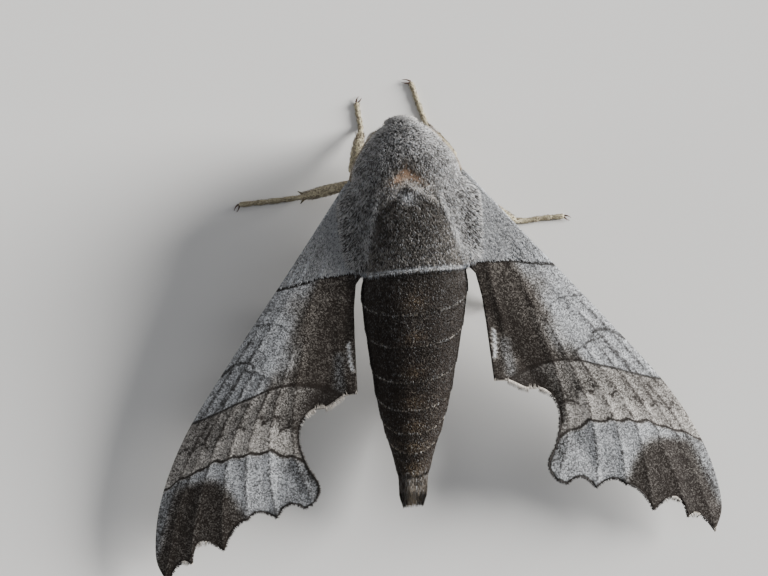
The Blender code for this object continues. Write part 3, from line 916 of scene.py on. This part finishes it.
def build_coat(material):
    """The coat from head to tail. Each look gives the tufts' length, width, lift and spread."""

    def head_look(out, along, up):
        front = 1 - ramp(0.6, 3.0, along)
        crest = hill(out, 0.0, 1.2) * ramp(0.2, 0.8, up)
        length = 0.34 + 0.25 * crest + 0.15 * front
        return length, np.full_like(along, 0.11), 0.45 + 0.45 * front, np.full_like(along, 0.5)

    def thorax_look(out, along, up):
        side = ramp(0.5, 1.0, np.abs(out) / 6.4)
        rear = ramp(16.2, 16.8, along)
        length = 0.34 + 0.12 * side + 0.3 * rear
        lift = 0.45 + 0.1 * side - 0.25 * rear
        return length, np.full_like(along, 0.12), lift, 0.5 - 0.35 * rear

    def abdomen_look(out, along, up):
        edge = ramp(0.9, 0.97, plate_share(along))
        length = 0.28 + 0.14 * edge
        return length, np.full_like(along, 0.14), 0.25 + 0.03 * edge, 0.35 - 0.2 * edge

    def fringe_look(out, along, up):
        return [np.full_like(along, value) for value in (0.4, 0.09, 0.22, 0.1)]

    def tail_look(out, along, up):
        length = np.clip(BODY_END + 0.05 - along, 0.5, 1.3) - 0.7 * (1 - ramp(39.6, 41.0, along))
        return length, np.full_like(along, 0.12), np.full_like(along, 0.08), np.full_like(along, 0.1)

    coat_band("head_coat", 11, 22000, 0.5, COLLAR_END, head_look, material, "thorax_coat")
    coat_band("thorax_coat", 12, 48000, COLLAR_END, THORAX_END + 0.1, thorax_look, material, "thorax_coat")
    coat_band("abdomen_coat", 13, 48000, THORAX_END + 0.2, 40.6, abdomen_look, material, "abdomen_coat")
    build_face_coat(material)
    chance = np.random.default_rng(15)
    edges = np.repeat(np.array((THORAX_END, *ABDOMEN_EDGES[1:-1])), FRINGE_COUNT)
    around = 2 * math.pi * chance.random(len(edges))
    coat_at("plate_fringe", chance, around, edges - 0.1, fringe_look, material, "abdomen_coat")
    coat_band("tail_coat", 14, 7000, 39.6, 42.9, tail_look, material, "abdomen_coat")


# --- Wings -----------------------------------------------------------------------------


def scallop(tooth, notch, following, steps):
    """The hollow from one tooth of the margin to the next, through the notch between them."""
    points = []
    for i in range(1, steps):
        x = i / steps
        bend = 4 * x * (1 - x)
        middle = [(a + b) / 2 for a, b in zip(tooth, following)]
        ends = zip(tooth, following, notch, middle)
        points.append(tuple(a + (b - a) * x + (n - m) * bend for a, b, n, m in ends))
    return [*points, following]


def outer_margin(steps=10):
    """The forewing's free edge from its tip round to the tornus."""
    margin = [TEETH[0][0]]
    starts = [tooth for tooth, _ in TEETH[1:]] + [LOBE[0]]
    for (tooth, notch), following in zip(TEETH, starts):
        margin += scallop(tooth, notch, following, steps)
    margin += [tuple(point) for point in smooth_path((*LOBE, *BITE, *TORNUS), 6)][1:]
    return margin


ROOT_INSIDE = ((10.4, 5.6), (8.6, 5.9), (1.3, 1.7), (0.1, 1.0))  # hidden within the thorax


def forewing_outline():
    outline = [tuple(point) for point in smooth_path(COSTA, 14)][:-1]
    outline += outer_margin()
    outline += [*HIND_EDGE[:-1], *ROOT_INSIDE]
    return outline


def wing_height(u, v):
    across = np.clip((v + 5) / 12, 0, 1)
    lengthwise = np.sin(math.pi * np.clip(u / WING_LENGTH, 0, 1)) ** 0.7
    camber = WING_CAMBER * np.sin(math.pi * across) * lengthwise
    return WING_HINGE[2] - WING_FALL * u + WING_ROOF * v + camber


def wing_place(u, v, rise=0.0):
    """Places of the wing's surface as (out, along, height)."""
    out = WING_HINGE[0] + WING_SCALE * (u * math.sin(WING_SWEEP) - v * math.cos(WING_SWEEP))
    along = WING_HINGE[1] + WING_SCALE * (u * math.cos(WING_SWEEP) + v * math.sin(WING_SWEEP))
    return np.stack([out, along, wing_height(u, v) + rise], -1)


def line_at(knots, v):
    places, values = table_of(knots)
    return np.interp(v, places, values[:, 0])


def cell_arch(v, reach):
    """An arch in each cell between veins: 0 at its middle and the full reach at its veins."""
    edges = np.array(CELL_EDGES)
    i = np.clip(np.searchsorted(edges, v) - 1, 0, len(edges) - 2)
    x = 2 * (v - edges[i]) / (edges[i + 1] - edges[i]) - 1
    return reach * np.clip(x, -1, 1) ** 2


def vein_distance(points):
    """How far each point is from the nearest vein."""
    best = np.full(len(points), np.inf)
    for vein in VEINS:
        away, _ = line_distance(points, smooth_path(vein, 5))
        best = np.minimum(best, away)
    return best


def forewing_marks(points):
    """The forewing's tones and the distances to its lines, at each (u, v)."""
    u, v = points.T
    first = u - line_at(FIRST_LINE, v)
    middle = u - line_at(MIDDLE_LINE, v)
    outer = u - line_at(OUTER_LINE, v) - cell_arch(v, -0.45) - 0.2
    crescent = u - line_at(CRESCENT_LINE, v) - cell_arch(v, 1.3)
    base = 1 - ramp(-0.1, 0.2, first)
    light = 0.73 + 0.1 * ramp(-2.6, -0.4, first) - 0.08 * ramp(2.5, 0.5, v) * ramp(4.0, 8.0, u)
    inner = ramp(0.6, 2.2, v) * (1 - 0.75 * hill(u, 21.5, 2.6) * (1 - ramp(2.2, 4.0, v)))
    inner = np.clip(inner + 0.45 * hill(u, 15.3, 1.6) * hill(v, 0.6, 1.0), 0, 1)
    medial = 0.7 - 0.44 * inner - 0.09 * inner * ramp(3.0, 5.0, v) - 0.06 * ramp(4.5, 6.4, v) * inner
    medial = medial + 0.06 * hill(u, 21.5, 3.4) * hill(v, 0.9, 1.7)
    light = light * base + medial * (1 - base)
    band = 0.56 - 0.15 * ramp(1.5, 5.0, v) + 0.04 * hill(v, -1.0, 2.0)
    beyond = ramp(-0.15, 0.25, middle)
    light = light + (band - light) * beyond
    light = light + (0.66 + 0.06 * ramp(-2.0, 2.0, v) - light) * ramp(0.1, 0.9, crescent) * beyond
    pale = 0.75 - 0.16 * (1 - ramp(-3.4, -1.0, v)) - 0.06 * ramp(7.0, 9.5, v)
    pale = pale - 0.14 * hill(u, 32.2, 1.1) * ramp(4.5, 7.0, v)
    pale = pale - 0.1 * hill(v, 2.4, 0.7) * hill(u, 34.0, 1.5)
    light = light + (pale - light) * ramp(0.0, 0.35, outer)
    strip = -4.3 + 0.16 * np.clip(u - 38.0, 0, 9)
    apex = ramp(0.0, 1.8, u - line_at(APEX_LINE, v)) * ramp(0.0, 1.3, v - strip)
    light = light + (0.17 - light) * apex
    light = light - 0.1 * ramp(40.0, 46.0, u) * (1 - apex)
    tornal = ramp(5.2, 6.6, v) * ramp(16.0, 17.5, u) * (1 - ramp(24.5, 26.5, u))
    light = light + (0.15 - light) * tornal
    flap = line_distance(points, HIND_FLAP)[0]
    light = light + 0.85 * (1 - ramp(0.14, 0.3, flap))
    streak = 1 - ramp(0.2, 1.1, line_distance(points, TORNAL_STREAK)[0])
    light = light + 0.2 * streak
    brown = 0.12 + 0.3 * beyond * (1 - ramp(0.0, 0.5, outer)) + 0.35 * apex
    brown = brown + 0.4 * np.clip(inner, 0, 1) * (1 - base) * (1 - beyond) - 0.05 * base
    brown = np.clip(brown, 0, 1) * (1 - 0.8 * (1 - ramp(0.1, 0.3, flap))) * (1 - 0.6 * streak)
    edge = line_distance(points, outer_margin())[0]
    bite = ramp(3.5, 5.5, v) * ramp(22.0, 24.0, u) * (1 - ramp(32.0, 35.0, u))
    light = light - (0.07 + 0.22 * bite) * np.exp(-edge / (0.35 + 0.5 * bite))
    shade = np.stack([np.clip(light, 0, 1), brown, apex], -1)
    bands = np.stack([first, middle, outer], -1)
    veins = vein_distance(points)
    mark = line_distance(points, smooth_path(DISCAL_MARK, 4))[0]
    cloud = line_distance(points, smooth_path(CLOUD_LINE, 4))[0] + 0.08
    weak = np.minimum(np.abs(crescent) + 0.04, np.minimum(mark + 0.06, cloud + 0.08))
    faded = veins + 0.2 * (1 - ramp(16.0, 22.0, u))
    fine = np.stack([weak, faded, edge], -1)
    return shade, bands, fine, veins


def hindwing_marks(points):
    """The hindwing's plain brown, with veins and no lines."""
    u, v = points.T
    light = 0.3 + 0.1 * hill(v, 1.0, 3.0)
    shade = np.stack([light, np.full_like(u, 0.7), np.zeros_like(u)], -1)
    far = np.full((len(u), 3), 9.0)
    veins = vein_distance(points)
    fine = far.copy()
    fine[:, 1] = veins
    return shade, far, fine, veins


def wing_plan(outline):
    """The flat outline, cut along a fine grid so that it can bend."""
    bm = bmesh.new()
    bm.faces.new([bm.verts.new((u, v, 0)) for u, v in outline])
    for axis in (0, 1):
        low = min(point[axis] for point in outline)
        high = max(point[axis] for point in outline)
        cuts = int((high - low) / WING_CELL)
        normal = Vector((1, 0, 0)) if axis == 0 else Vector((0, 1, 0))
        for i in range(1, cuts + 1):
            spot = normal * (low + (high - low) * i / (cuts + 1))
            geometry = bm.verts[:] + bm.edges[:] + bm.faces[:]
            bmesh.ops.bisect_plane(bm, geom=geometry, dist=1e-4, plane_co=spot, plane_no=normal)
    bmesh.ops.triangulate(bm, faces=[face for face in bm.faces if len(face.verts) > 4])
    return bm


def rim_shift(face, plan):
    """A step outward in the plan, which gives a rim's narrow face some width on the map."""
    for edge in face.edges:
        for other in edge.link_faces:
            if abs(other.normal.z) > 0.6:
                a, b = (vert[plan] for vert in edge.verts)
                inner = sum((vert[plan] for vert in other.verts), Vector()) / len(other.verts)
                across = Vector((a.y - b.y, b.x - a.x, 0.0)).normalized()
                return across * (0.12 if across.dot(a - inner) > 0 else -0.12)
    return Vector()


def build_wing(kind, label, side, outline, marks, drop, material):
    """A thin wing with raised veins. Its top and underside lie side by side on its map."""
    bm = wing_plan(outline)
    points = np.array([vert.co[:2] for vert in bm.verts])
    shade, bands, fine, veins = marks(points)
    u, v = points.T
    ripple = 0.03 * np.cos(math.pi * np.clip(veins / 0.9, 0, 1)) * ramp(6.0, 14.0, u)
    rise = 0.09 * hill(veins, 0.0, 0.22) + ripple - drop
    spots = wing_place(u, v, rise)
    layers = {name: bm.verts.layers.float_color.new(name) for name in ("shade", "bands", "fine_lines")}
    plan = bm.verts.layers.float_vector.new("plan")
    for i, vert in enumerate(bm.verts):
        vert[plan] = (*points[i], 0.0)
        vert[layers["shade"]] = (*shade[i], 1.0)
        vert[layers["bands"]] = (*bands[i], 1.0)
        vert[layers["fine_lines"]] = (*fine[i], 1.0)
        vert.co = place(*spots[i], side=side)
    bm.normal_update()
    if sum(face.normal.z for face in bm.faces) < 0:
        bmesh.ops.reverse_faces(bm, faces=bm.faces)
    bmesh.ops.solidify(bm, geom=bm.faces[:], thickness=WING_WALL * MM)
    bmesh.ops.recalc_face_normals(bm, faces=bm.faces)
    uv = bm.loops.layers.uv.new("OFBake")
    size = WING_MAP if kind == "forewing" else HINDWING_MAP
    for face in bm.faces:
        under = face.normal.z < 0
        row = UNDERSIDE_ON_MAP if under else TOP_ON_MAP
        shift = rim_shift(face, plan) if abs(face.normal.z) < 0.6 else Vector()
        middle = face.calc_center_median().z
        for loop in face.loops:
            at = loop.vert[plan] + (shift if (loop.vert.co.z > middle) == under else Vector())
            loop[uv].uv = ((at[0] + MAP_SHIFT[0]) / size, (at[1] + MAP_SHIFT[1]) / size + row)
    name = f"{kind}_{label}_scales"
    mesh = mesh_from(bm, name, fix_normals=False)
    show(mesh, name, material, [f"{kind}_{label}"])


def wing_map(u, v):
    return np.stack([(u + MAP_SHIFT[0]) / WING_MAP, (v + MAP_SHIFT[1]) / WING_MAP], -1)


def build_fringe(label, side, material):
    """Short scales along the forewing's free edge: dark on the teeth, cream in the hollows."""
    chance = np.random.default_rng(31 if side > 0 else 32)
    margin = np.array(outer_margin())
    steps = np.diff(margin, axis=0)
    lengths = np.hypot(*steps.T)
    ends = np.concatenate([[0], np.cumsum(lengths)])
    count = int(ends[-1] * FRINGE_SCALES)
    at = np.sort(chance.random(count)) * ends[-1]
    i = np.clip(np.searchsorted(ends, at) - 1, 0, len(steps) - 1)
    spot = margin[i] + steps[i] * ((at - ends[i]) / lengths[i])[:, None]
    way = steps[i] / lengths[i][:, None]
    outward = np.stack([-way[:, 1], way[:, 0]], -1)
    outward *= np.where((outward * (np.array((30.0, 2.0)) - spot)).sum(1) > 0, -1.0, 1.0)[:, None]
    turn = np.roll(way, -6, 0) - np.roll(way, 6, 0)
    hollow = ramp(0.1, 0.5, (turn * outward).sum(1))
    hollow = hollow * (1 - ramp(26.5, 28.0, spot[:, 0]) * (1 - ramp(40.0, 41.5, spot[:, 0])))
    tornal = ramp(21.2, 21.8, spot[:, 0]) * (1 - ramp(25.8, 26.8, spot[:, 0]))
    cream = np.maximum(hollow, 0.9 * tornal)
    inset = spot - 0.12 * outward
    root = wing_place(inset[:, 0], inset[:, 1], -0.02)
    ahead = wing_place(inset[:, 0] + outward[:, 0] * 0.2, inset[:, 1] + outward[:, 1] * 0.2, -0.05)
    heading = unit(ahead - root + chance.normal(0, 0.022, root.shape))
    mirror = np.array((side, 1, 1))
    light = np.where(chance.random(count) < 1.4 * cream, 1.0, 0.1 + 0.16 * chance.random(count))
    shades = np.stack([light, 0.35 + 0.2 * cream, np.zeros(count)], -1)
    normals = np.tile((0.0, 0.0, 1.0), (count, 1))
    sizes = 0.32 + 0.1 * chance.random(count) + 0.4 * cream
    widths = np.full(count, 0.11)
    rows = (root * mirror, heading * mirror, normals, sizes, widths, shades, wing_map(*spot.T))
    make_tufts(f"forewing_{label}_fringe", *rows, material, "forewing")


def build_wing_root_coat(label, side, material):
    """The short hair that carries the thorax's coat out over the pale root of the forewing."""
    chance = np.random.default_rng(41 if side > 0 else 42)
    u, v = (chance.random((2, 26000)).T * (14.5, 8.6) + (0.2, -2.2)).T
    front_edge = np.interp(u, *np.array(COSTA).T)
    spots = wing_place(u, v)
    first = u - line_at(FIRST_LINE, v)
    inside = (v > front_edge + 0.15) & (spots[:, 0] > 6.3) & (first < -0.15)
    inside &= chance.random(len(u)) > 0.75 * ramp(6.0, 13.5, u)
    u, v = u[inside], v[inside]
    count = len(u)
    shade, _, _, _ = forewing_marks(np.stack([u, v], -1))
    root = wing_place(u, v, 0.02)
    turn = chance.normal(0.1, 0.5, count)
    ahead = wing_place(u + 0.2 * np.cos(turn), v + 0.2 * np.sin(turn), 0.02)
    way = unit(ahead - root + (0.0, 0.0, 0.05))
    light = shade[:, 0] * (0.62 + 1.2 * chance.random(count)) * (0.95 - 0.03 * ramp(9.0, 13.0, u))
    shades = np.stack([np.clip(light, 0, 1), shade[:, 1] + 0.1, np.zeros(count)], -1)
    mirror = np.array((side, 1, 1))
    normals = np.tile((0.0, 0.0, 1.0), (count, 1))
    sizes = 0.24 + 0.16 * chance.random(count)
    widths = np.full(count, 0.11)
    rows = (root * mirror, way * mirror, normals, sizes, widths, shades, wing_map(u, v))
    make_tufts(f"forewing_{label}_root_coat", *rows, material, "forewing")


# --- Legs, feelers, eyes and palps -----------------------------------------------------


def sweep(points, radii, sides=LIMB_SIDES, flat=False):
    """A closed round limb along the points, from rings turned square to its way."""
    bm = bmesh.new()
    loops = []
    last = len(points) - 1
    for i, (point, radius) in enumerate(zip(points, radii)):
        way = (points[min(i + 1, last)] - points[max(i - 1, 0)]).normalized()
        turn = way.to_track_quat("Z", "Y").to_matrix().to_4x4()
        where = Matrix.Translation(point) @ turn
        ring = bmesh.ops.create_circle(bm, segments=sides, radius=radius * MM, matrix=where)
        loops.append(ring["verts"])
    join_rings(bm, loops)
    for loop in (loops[0], loops[-1]):
        bmesh.ops.poke(bm, faces=[bm.faces.new(loop)])
    if flat:
        for vert in bm.verts:
            vert.co.z = max(vert.co.z, FLOOR)
    return bm


def limb_map(mesh, points):
    """The limb's own unwrap: along it across the map, and round it down the map."""
    path = np.array([tuple(point) for point in points])
    lengths = np.concatenate([[0], np.cumsum(np.linalg.norm(np.diff(path, axis=0), axis=1))])
    corners = corner_vertices(mesh)
    row = corners // LIMB_SIDES
    extra = corners - LIMB_SIDES * len(path)
    row = np.where(extra == 0, 0, np.minimum(row, len(path) - 1))
    uv = np.stack([lengths[row] / lengths[-1] * 0.96 + 0.02, corners % LIMB_SIDES / LIMB_SIDES], -1)
    for face in mesh.polygons:
        span = range(face.loop_start, face.loop_start + face.loop_total)
        around = [uv[i, 1] for i in span]
        if max(around) - min(around) > 0.5:
            for i in span:
                if uv[i, 1] < 0.5:
                    uv[i, 1] += 1.0
        poles = [i for i in span if extra[i] >= 0]
        for i in poles:
            uv[i, 1] = sum(uv[k, 1] for k in span if k != i) / 2
            uv[i, 0] += 0.012 if extra[i] else -0.012
    uv[:, 1] *= 0.93
    set_bake_map(mesh, uv)


FEMUR_RADII = (0.5, 0.74, 0.8, 0.68, 0.52)
TIBIA_RADII = (0.52, 0.6, 0.66, 0.6, 0.46)
FOOT_JOINTS = 5


def leg_line(hip, knee, ankle, spots, side):
    """The leg's whole line with its radii: thigh, shin, and a foot of five joints on the floor."""
    points = []
    radii = []
    for start, end, sizes in ((hip, knee, FEMUR_RADII), (knee, ankle, TIBIA_RADII)):
        for x in np.arange(SEGMENT_ROWS) / (SEGMENT_ROWS - 1):
            points.append(start.lerp(end, float(x)))
            radii.append(float(np.interp(x, np.linspace(0, 1, len(sizes)), sizes)))
    foot = [place(out, along, FOOT_RADIUS, side) for out, along in spots[:-1]]
    path = smooth_path([ankle, *foot], 10)
    lengths = np.concatenate([[0], np.cumsum([(b - a).length for a, b in zip(path, path[1:])])])
    for x in np.linspace(0.06, 1, 6 * FOOT_JOINTS):
        i = int(np.clip(np.searchsorted(lengths, x * lengths[-1]) - 1, 0, len(path) - 2))
        share = (x * lengths[-1] - lengths[i]) / (lengths[i + 1] - lengths[i])
        points.append(path[i].lerp(path[i + 1], float(share)))
        bead = abs(math.sin(math.pi * x * FOOT_JOINTS))
        radii.append(FOOT_RADIUS + 0.13 * bead**0.5)
    for point in points:
        point.z = max(point.z, FOOT_RADIUS * MM)
    return points, radii


def build_leg(name, hip, knee, ankle, spots, skin, claw_material, coat):
    """One leg: its skin, first joint, claws, spurs and scales."""
    side = 1 if name.endswith("left") else -1
    hip, knee, ankle = (place(*spot, side=side) for spot in (hip, knee, ankle))
    points, radii = leg_line(hip, knee, ankle, spots, side)
    mesh = mesh_from(sweep(points, radii, flat=True), name)
    set_shade(mesh, 1.0)
    limb_map(mesh, points)
    leg, label = name.split("_")
    nodes = [f"{leg}_{part}_{label}" for part in ("femur", "tibia", "foot")]
    show(mesh, f"{name}_skin", skin, nodes)
    build_hip(name, hip, side, skin, coat)
    build_claws(name, points, spots, side, claw_material)
    build_spurs(name, knee, ankle, skin)
    build_leg_scales(name, points, radii, coat)


def build_hip(name, hip, side, skin, coat):
    """The leg's thick first joint, which hangs from the underside of the thorax."""
    top = hip + Vector((-0.5 * side, 0.3, 2.6)) * MM
    points = [top.lerp(hip + Vector((0, 0, -0.25 * MM)), i / 8) for i in range(9)]
    radii = [1.3, 1.32, 1.3, 1.24, 1.15, 1.04, 0.9, 0.72, 0.4]
    mesh = mesh_from(sweep(points, radii), name)
    set_shade(mesh, 0.7)
    limb_map(mesh, points)
    show(mesh, f"{name}_hip", skin)
    build_leg_scales(f"{name}_hip", points, radii, coat, 0.5)


def build_claws(name, points, spots, side, material):
    """Two hooked claws that curve down to the floor from the end of the foot."""
    tip = points[-1]
    target = place(*spots[-1], 0.12, side)
    way = target - tip
    across = way.cross(Vector((0, 0, 1))).normalized()
    for number, sway in enumerate((-1, 1)):
        shift = across * 0.14 * MM * sway
        crook = tip + way * 0.5 + shift * 1.5 + Vector((0, 0, 0.22 * MM))
        path = smooth_path([tip + shift * 0.6, crook, target + shift * 1.2], 4)
        radii = [0.11 - 0.085 * i / (len(path) - 1) for i in range(len(path))]
        mesh = mesh_from(sweep(path, radii, sides=8, flat=True), name)
        show(mesh, f"{name}_claw_{number + 1}", material)


def build_spurs(name, knee, ankle, material):
    """The shin's end spurs: a short pair on the middle legs, and two pairs on the hind legs."""
    if name.startswith("foreleg"):
        return
    way = (ankle - knee).normalized()
    across = way.cross(Vector((0, 0, 1))).normalized()
    shares = (1.0,) if name.startswith("midleg") else (0.55, 1.0)
    number = 0
    for share in shares:
        root = knee.lerp(ankle, share)
        for sway in (-1, 1):
            number += 1
            tip = root + way * 1.0 * MM + across * sway * 0.75 * MM
            tip.z = max(tip.z, 0.12 * MM)
            middle = (root + tip) / 2 + Vector((0, 0, 0.06 * MM))
            path = smooth_path([root, middle, tip], 3)
            radii = [0.2, 0.19, 0.17, 0.15, 0.12, 0.08, 0.04]
            mesh = mesh_from(sweep(path, radii, sides=8, flat=True), name)
            set_shade(mesh, 0.25)
            show(mesh, f"{name}_spur_{number}", material)


def build_leg_scales(name, points, radii, material, length=0.42):
    """Scales that lie along the thigh and shin and roughen their outline."""
    chance = np.random.default_rng(sum(map(ord, name)))
    path = np.array([tuple(point) for point in points]) / MM
    path[:, 1] -= CREST
    count = 900
    shin_end = 2 * SEGMENT_ROWS - 1
    row = chance.integers(1, len(path) - 2, count)
    if len(path) > shin_end:
        row = np.where(chance.random(count) < 0.7, chance.integers(1, shin_end, count), row)
    share = chance.random(count)[:, None]
    centre = path[row] + (path[row + 1] - path[row]) * share
    way = unit(path[row + 1] - path[row])
    aside = unit(np.cross(way, np.tile((0.0, 0.0, 1.0), (count, 1))))
    above = np.cross(aside, way)
    turn = 2 * math.pi * chance.random(count)[:, None]
    normal = np.cos(turn) * aside + np.sin(turn) * above
    radius = np.array(radii)[row][:, None]
    root = centre + normal * radius * 0.93
    lift = 0.18 + 0.25 * chance.random(count)[:, None]
    heading = unit(way + normal * lift)
    size = np.where(row < shin_end, length, 0.24) * (0.7 + 0.6 * chance.random(count))
    # Two rings lie on each other at the knee, and no scale grows between them.
    kept = (root[:, 2] + size * heading[:, 2] > 0.05) & way.any(axis=1)
    light = 0.42 + 0.3 * chance.random(count)
    shades = np.stack([light, np.full(count, 0.8), np.zeros(count)], -1)
    places = np.stack([row / len(path), turn[:, 0] / (2 * math.pi)], -1)
    rows = (root, heading, normal, size, np.full(count, 0.1), shades, places)
    make_tufts(f"{name}_scales", *(item[kept] for item in rows), material, "leg")


def build_antenna(label, side, material):
    """A feeler laid back along the shoulder and under the wing's front edge, thinning to its tip."""
    path = smooth_path([place(*spot, side=side) for spot in ANTENNA], 12)
    radii = []
    for i in range(len(path)):
        ring = 1 + 0.06 * math.cos(math.pi * i)
        radii.append(ring * float(np.interp(i / (len(path) - 1), *ANTENNA_RADII)))
    mesh = mesh_from(sweep(path, radii), "antenna")
    limb_map(mesh, path)
    show(mesh, f"antenna_{label}_shaft", material, [f"antenna_{label}"])


def build_eye(label, side, material):
    """A smooth globe, whose facets are in its material."""
    bm = bmesh.new()
    bmesh.ops.create_icosphere(bm, subdivisions=5, radius=1.0)
    size = Matrix.Diagonal((*(part * MM for part in EYE_SIZE), 1.0))
    where = Matrix.Translation(place(*EYE_CENTRE, side=side)) @ size
    bmesh.ops.transform(bm, matrix=where, verts=bm.verts)
    show(mesh_from(bm, "eye"), f"eye_{label}_globe", material, [f"eye_{label}"])


def build_palp(label, side, skin, coat):
    """A blunt lip feeler that curves up in front of the face, thick with scales."""
    spots = [place(*spot, side=side) for spot in (PALP_ROOT, PALP_BELLY, PALP_TIP)]
    path = smooth_path(spots, 8)
    swell = [math.sin(math.pi * (0.2 + 0.72 * i / (len(path) - 1))) for i in range(len(path))]
    radii = [PALP_RADIUS * share**0.7 for share in swell]
    mesh = mesh_from(sweep(path, radii), "palp")
    set_shade(mesh, (0.72, 0.35, 0.0))
    limb_map(mesh, path)
    show(mesh, f"palp_{label}_skin", skin, [f"palp_{label}"])
    build_palp_coat(label, side, path, radii, coat)


def build_palp_coat(label, side, path, radii, material):
    """Scales all round the palp, which lean forward along it."""
    chance = np.random.default_rng(51 if side > 0 else 52)
    line = np.array([tuple(point) for point in path]) / MM
    line[:, 1] -= CREST
    count = 700
    row = chance.integers(0, len(line) - 1, count)
    way = unit(line[row + 1] - line[row])
    ball = chance.normal(0, 1, (count, 3))
    normal = unit(ball - (ball * way).sum(1)[:, None] * way)
    root = line[row] + normal * np.array(radii)[row][:, None] * 0.9
    heading = unit(way + normal * 0.4)
    light = np.clip(0.5 + 0.8 * chance.random(count), 0, 1)
    shades = np.stack([light, np.full(count, 0.45), np.zeros(count)], -1)
    places = np.stack([row / len(line), chance.random(count)], -1)
    sizes = 0.3 + 0.2 * chance.random(count)
    rows = (root, heading, normal, sizes, np.full(count, 0.1), shades, places)
    make_tufts(f"palp_{label}_coat", *rows, material, "thorax_coat")


# --- Stage, light and camera -----------------------------------------------------------

PLAN_TURN = math.radians(5.45)
VIEW_CENTRE = (3.66, 18.7, 9.0)
VIEW_DISTANCE = 260.0
VIEW_WIDTH = 87.3
SENSOR = 36.0


def build_stage(material):
    bm = bmesh.new()
    bmesh.ops.create_grid(bm, x_segments=8, y_segments=8, size=15.0)
    floor = bpy.data.objects.new("floor", mesh_from(bm, "floor", fix_normals=False))
    floor.data.materials.append(material)
    bpy.context.scene.collection.objects.link(floor)


LIGHT_REACH = 8.0  # how many times further off than its near place each lamp stands


def add_light(name, spot, size, power, colour=(1.0, 1.0, 1.0)):
    """A round lamp, which looks as large and as bright from the moth at any reach."""
    light = bpy.data.lights.new(name, "AREA")
    light.shape = "DISK"
    light.size = size * LIGHT_REACH
    light.energy = power * LIGHT_REACH**2
    light.color = colour
    lamp = bpy.data.objects.new(name, light)
    bpy.context.scene.collection.objects.link(lamp)
    lamp.location = Vector(spot) * LIGHT_REACH
    lamp.rotation_euler = (-Vector(spot)).to_track_quat("-Z", "Y").to_euler()


def light_the_stage():
    add_light("key", (-0.57, -0.1, 0.199), 0.3, 14.2, (1.0, 0.99, 0.97))
    add_light("top", (-0.3, -0.12, 0.6), 0.5, 0.5, (0.96, 0.98, 1.0))
    add_light("fill", (0.6, -0.1, 0.13), 0.28, 1.0, (1.0, 0.99, 0.97))
    world = bpy.data.worlds.new("soft_room")
    world.use_nodes = True
    room = world.node_tree.nodes["Background"]
    room.inputs["Color"].default_value = (0.9, 0.93, 1.0, 1.0)
    room.inputs["Strength"].default_value = 0.27
    bpy.context.scene.world = world


def set_camera():
    """Straight above the moth, turned a little so that the head leans to the upper left."""
    camera = bpy.data.cameras.new("camera")
    camera.sensor_width = SENSOR
    camera.lens = SENSOR * VIEW_DISTANCE / VIEW_WIDTH
    camera.clip_start = 0.01
    camera.clip_end = 20.0
    eye = bpy.data.objects.new("camera", camera)
    bpy.context.scene.collection.objects.link(eye)
    out, along, height = VIEW_CENTRE
    eye.location = place(out, along, height + VIEW_DISTANCE)
    eye.rotation_euler = (0.0, 0.0, math.pi - PLAN_TURN)
    bpy.context.scene.camera = eye


def main():
    set_camera()
    light_the_stage()
    build_stage(make_floor_material())
    wing = make_wing_material()
    skin = make_skin_material()
    coat = make_coat_material()
    leg = make_leg_material()
    claw = make_claw_material()
    antenna = make_antenna_material()
    eye = make_eye_material()
    build_skin(skin)
    build_coat(coat)
    forewing = forewing_outline()
    hindwing = [tuple(point) for point in smooth_path((*HINDWING, HINDWING[0]), 6)][:-1]
    for label, side in SIDES:
        build_wing("forewing", label, side, forewing, forewing_marks, 0.0, wing)
        build_wing("hindwing", label, side, hindwing, hindwing_marks, HINDWING_DROP, wing)
        build_fringe(label, side, coat)
        build_wing_root_coat(label, side, coat)
        build_antenna(label, side, antenna)
        build_eye(label, side, eye)
        build_palp(label, side, skin, coat)
    for name, (hip, knee, ankle, spots) in LEGS.items():
        build_leg(name, hip, knee, ankle, spots, leg, claw, coat)


main()
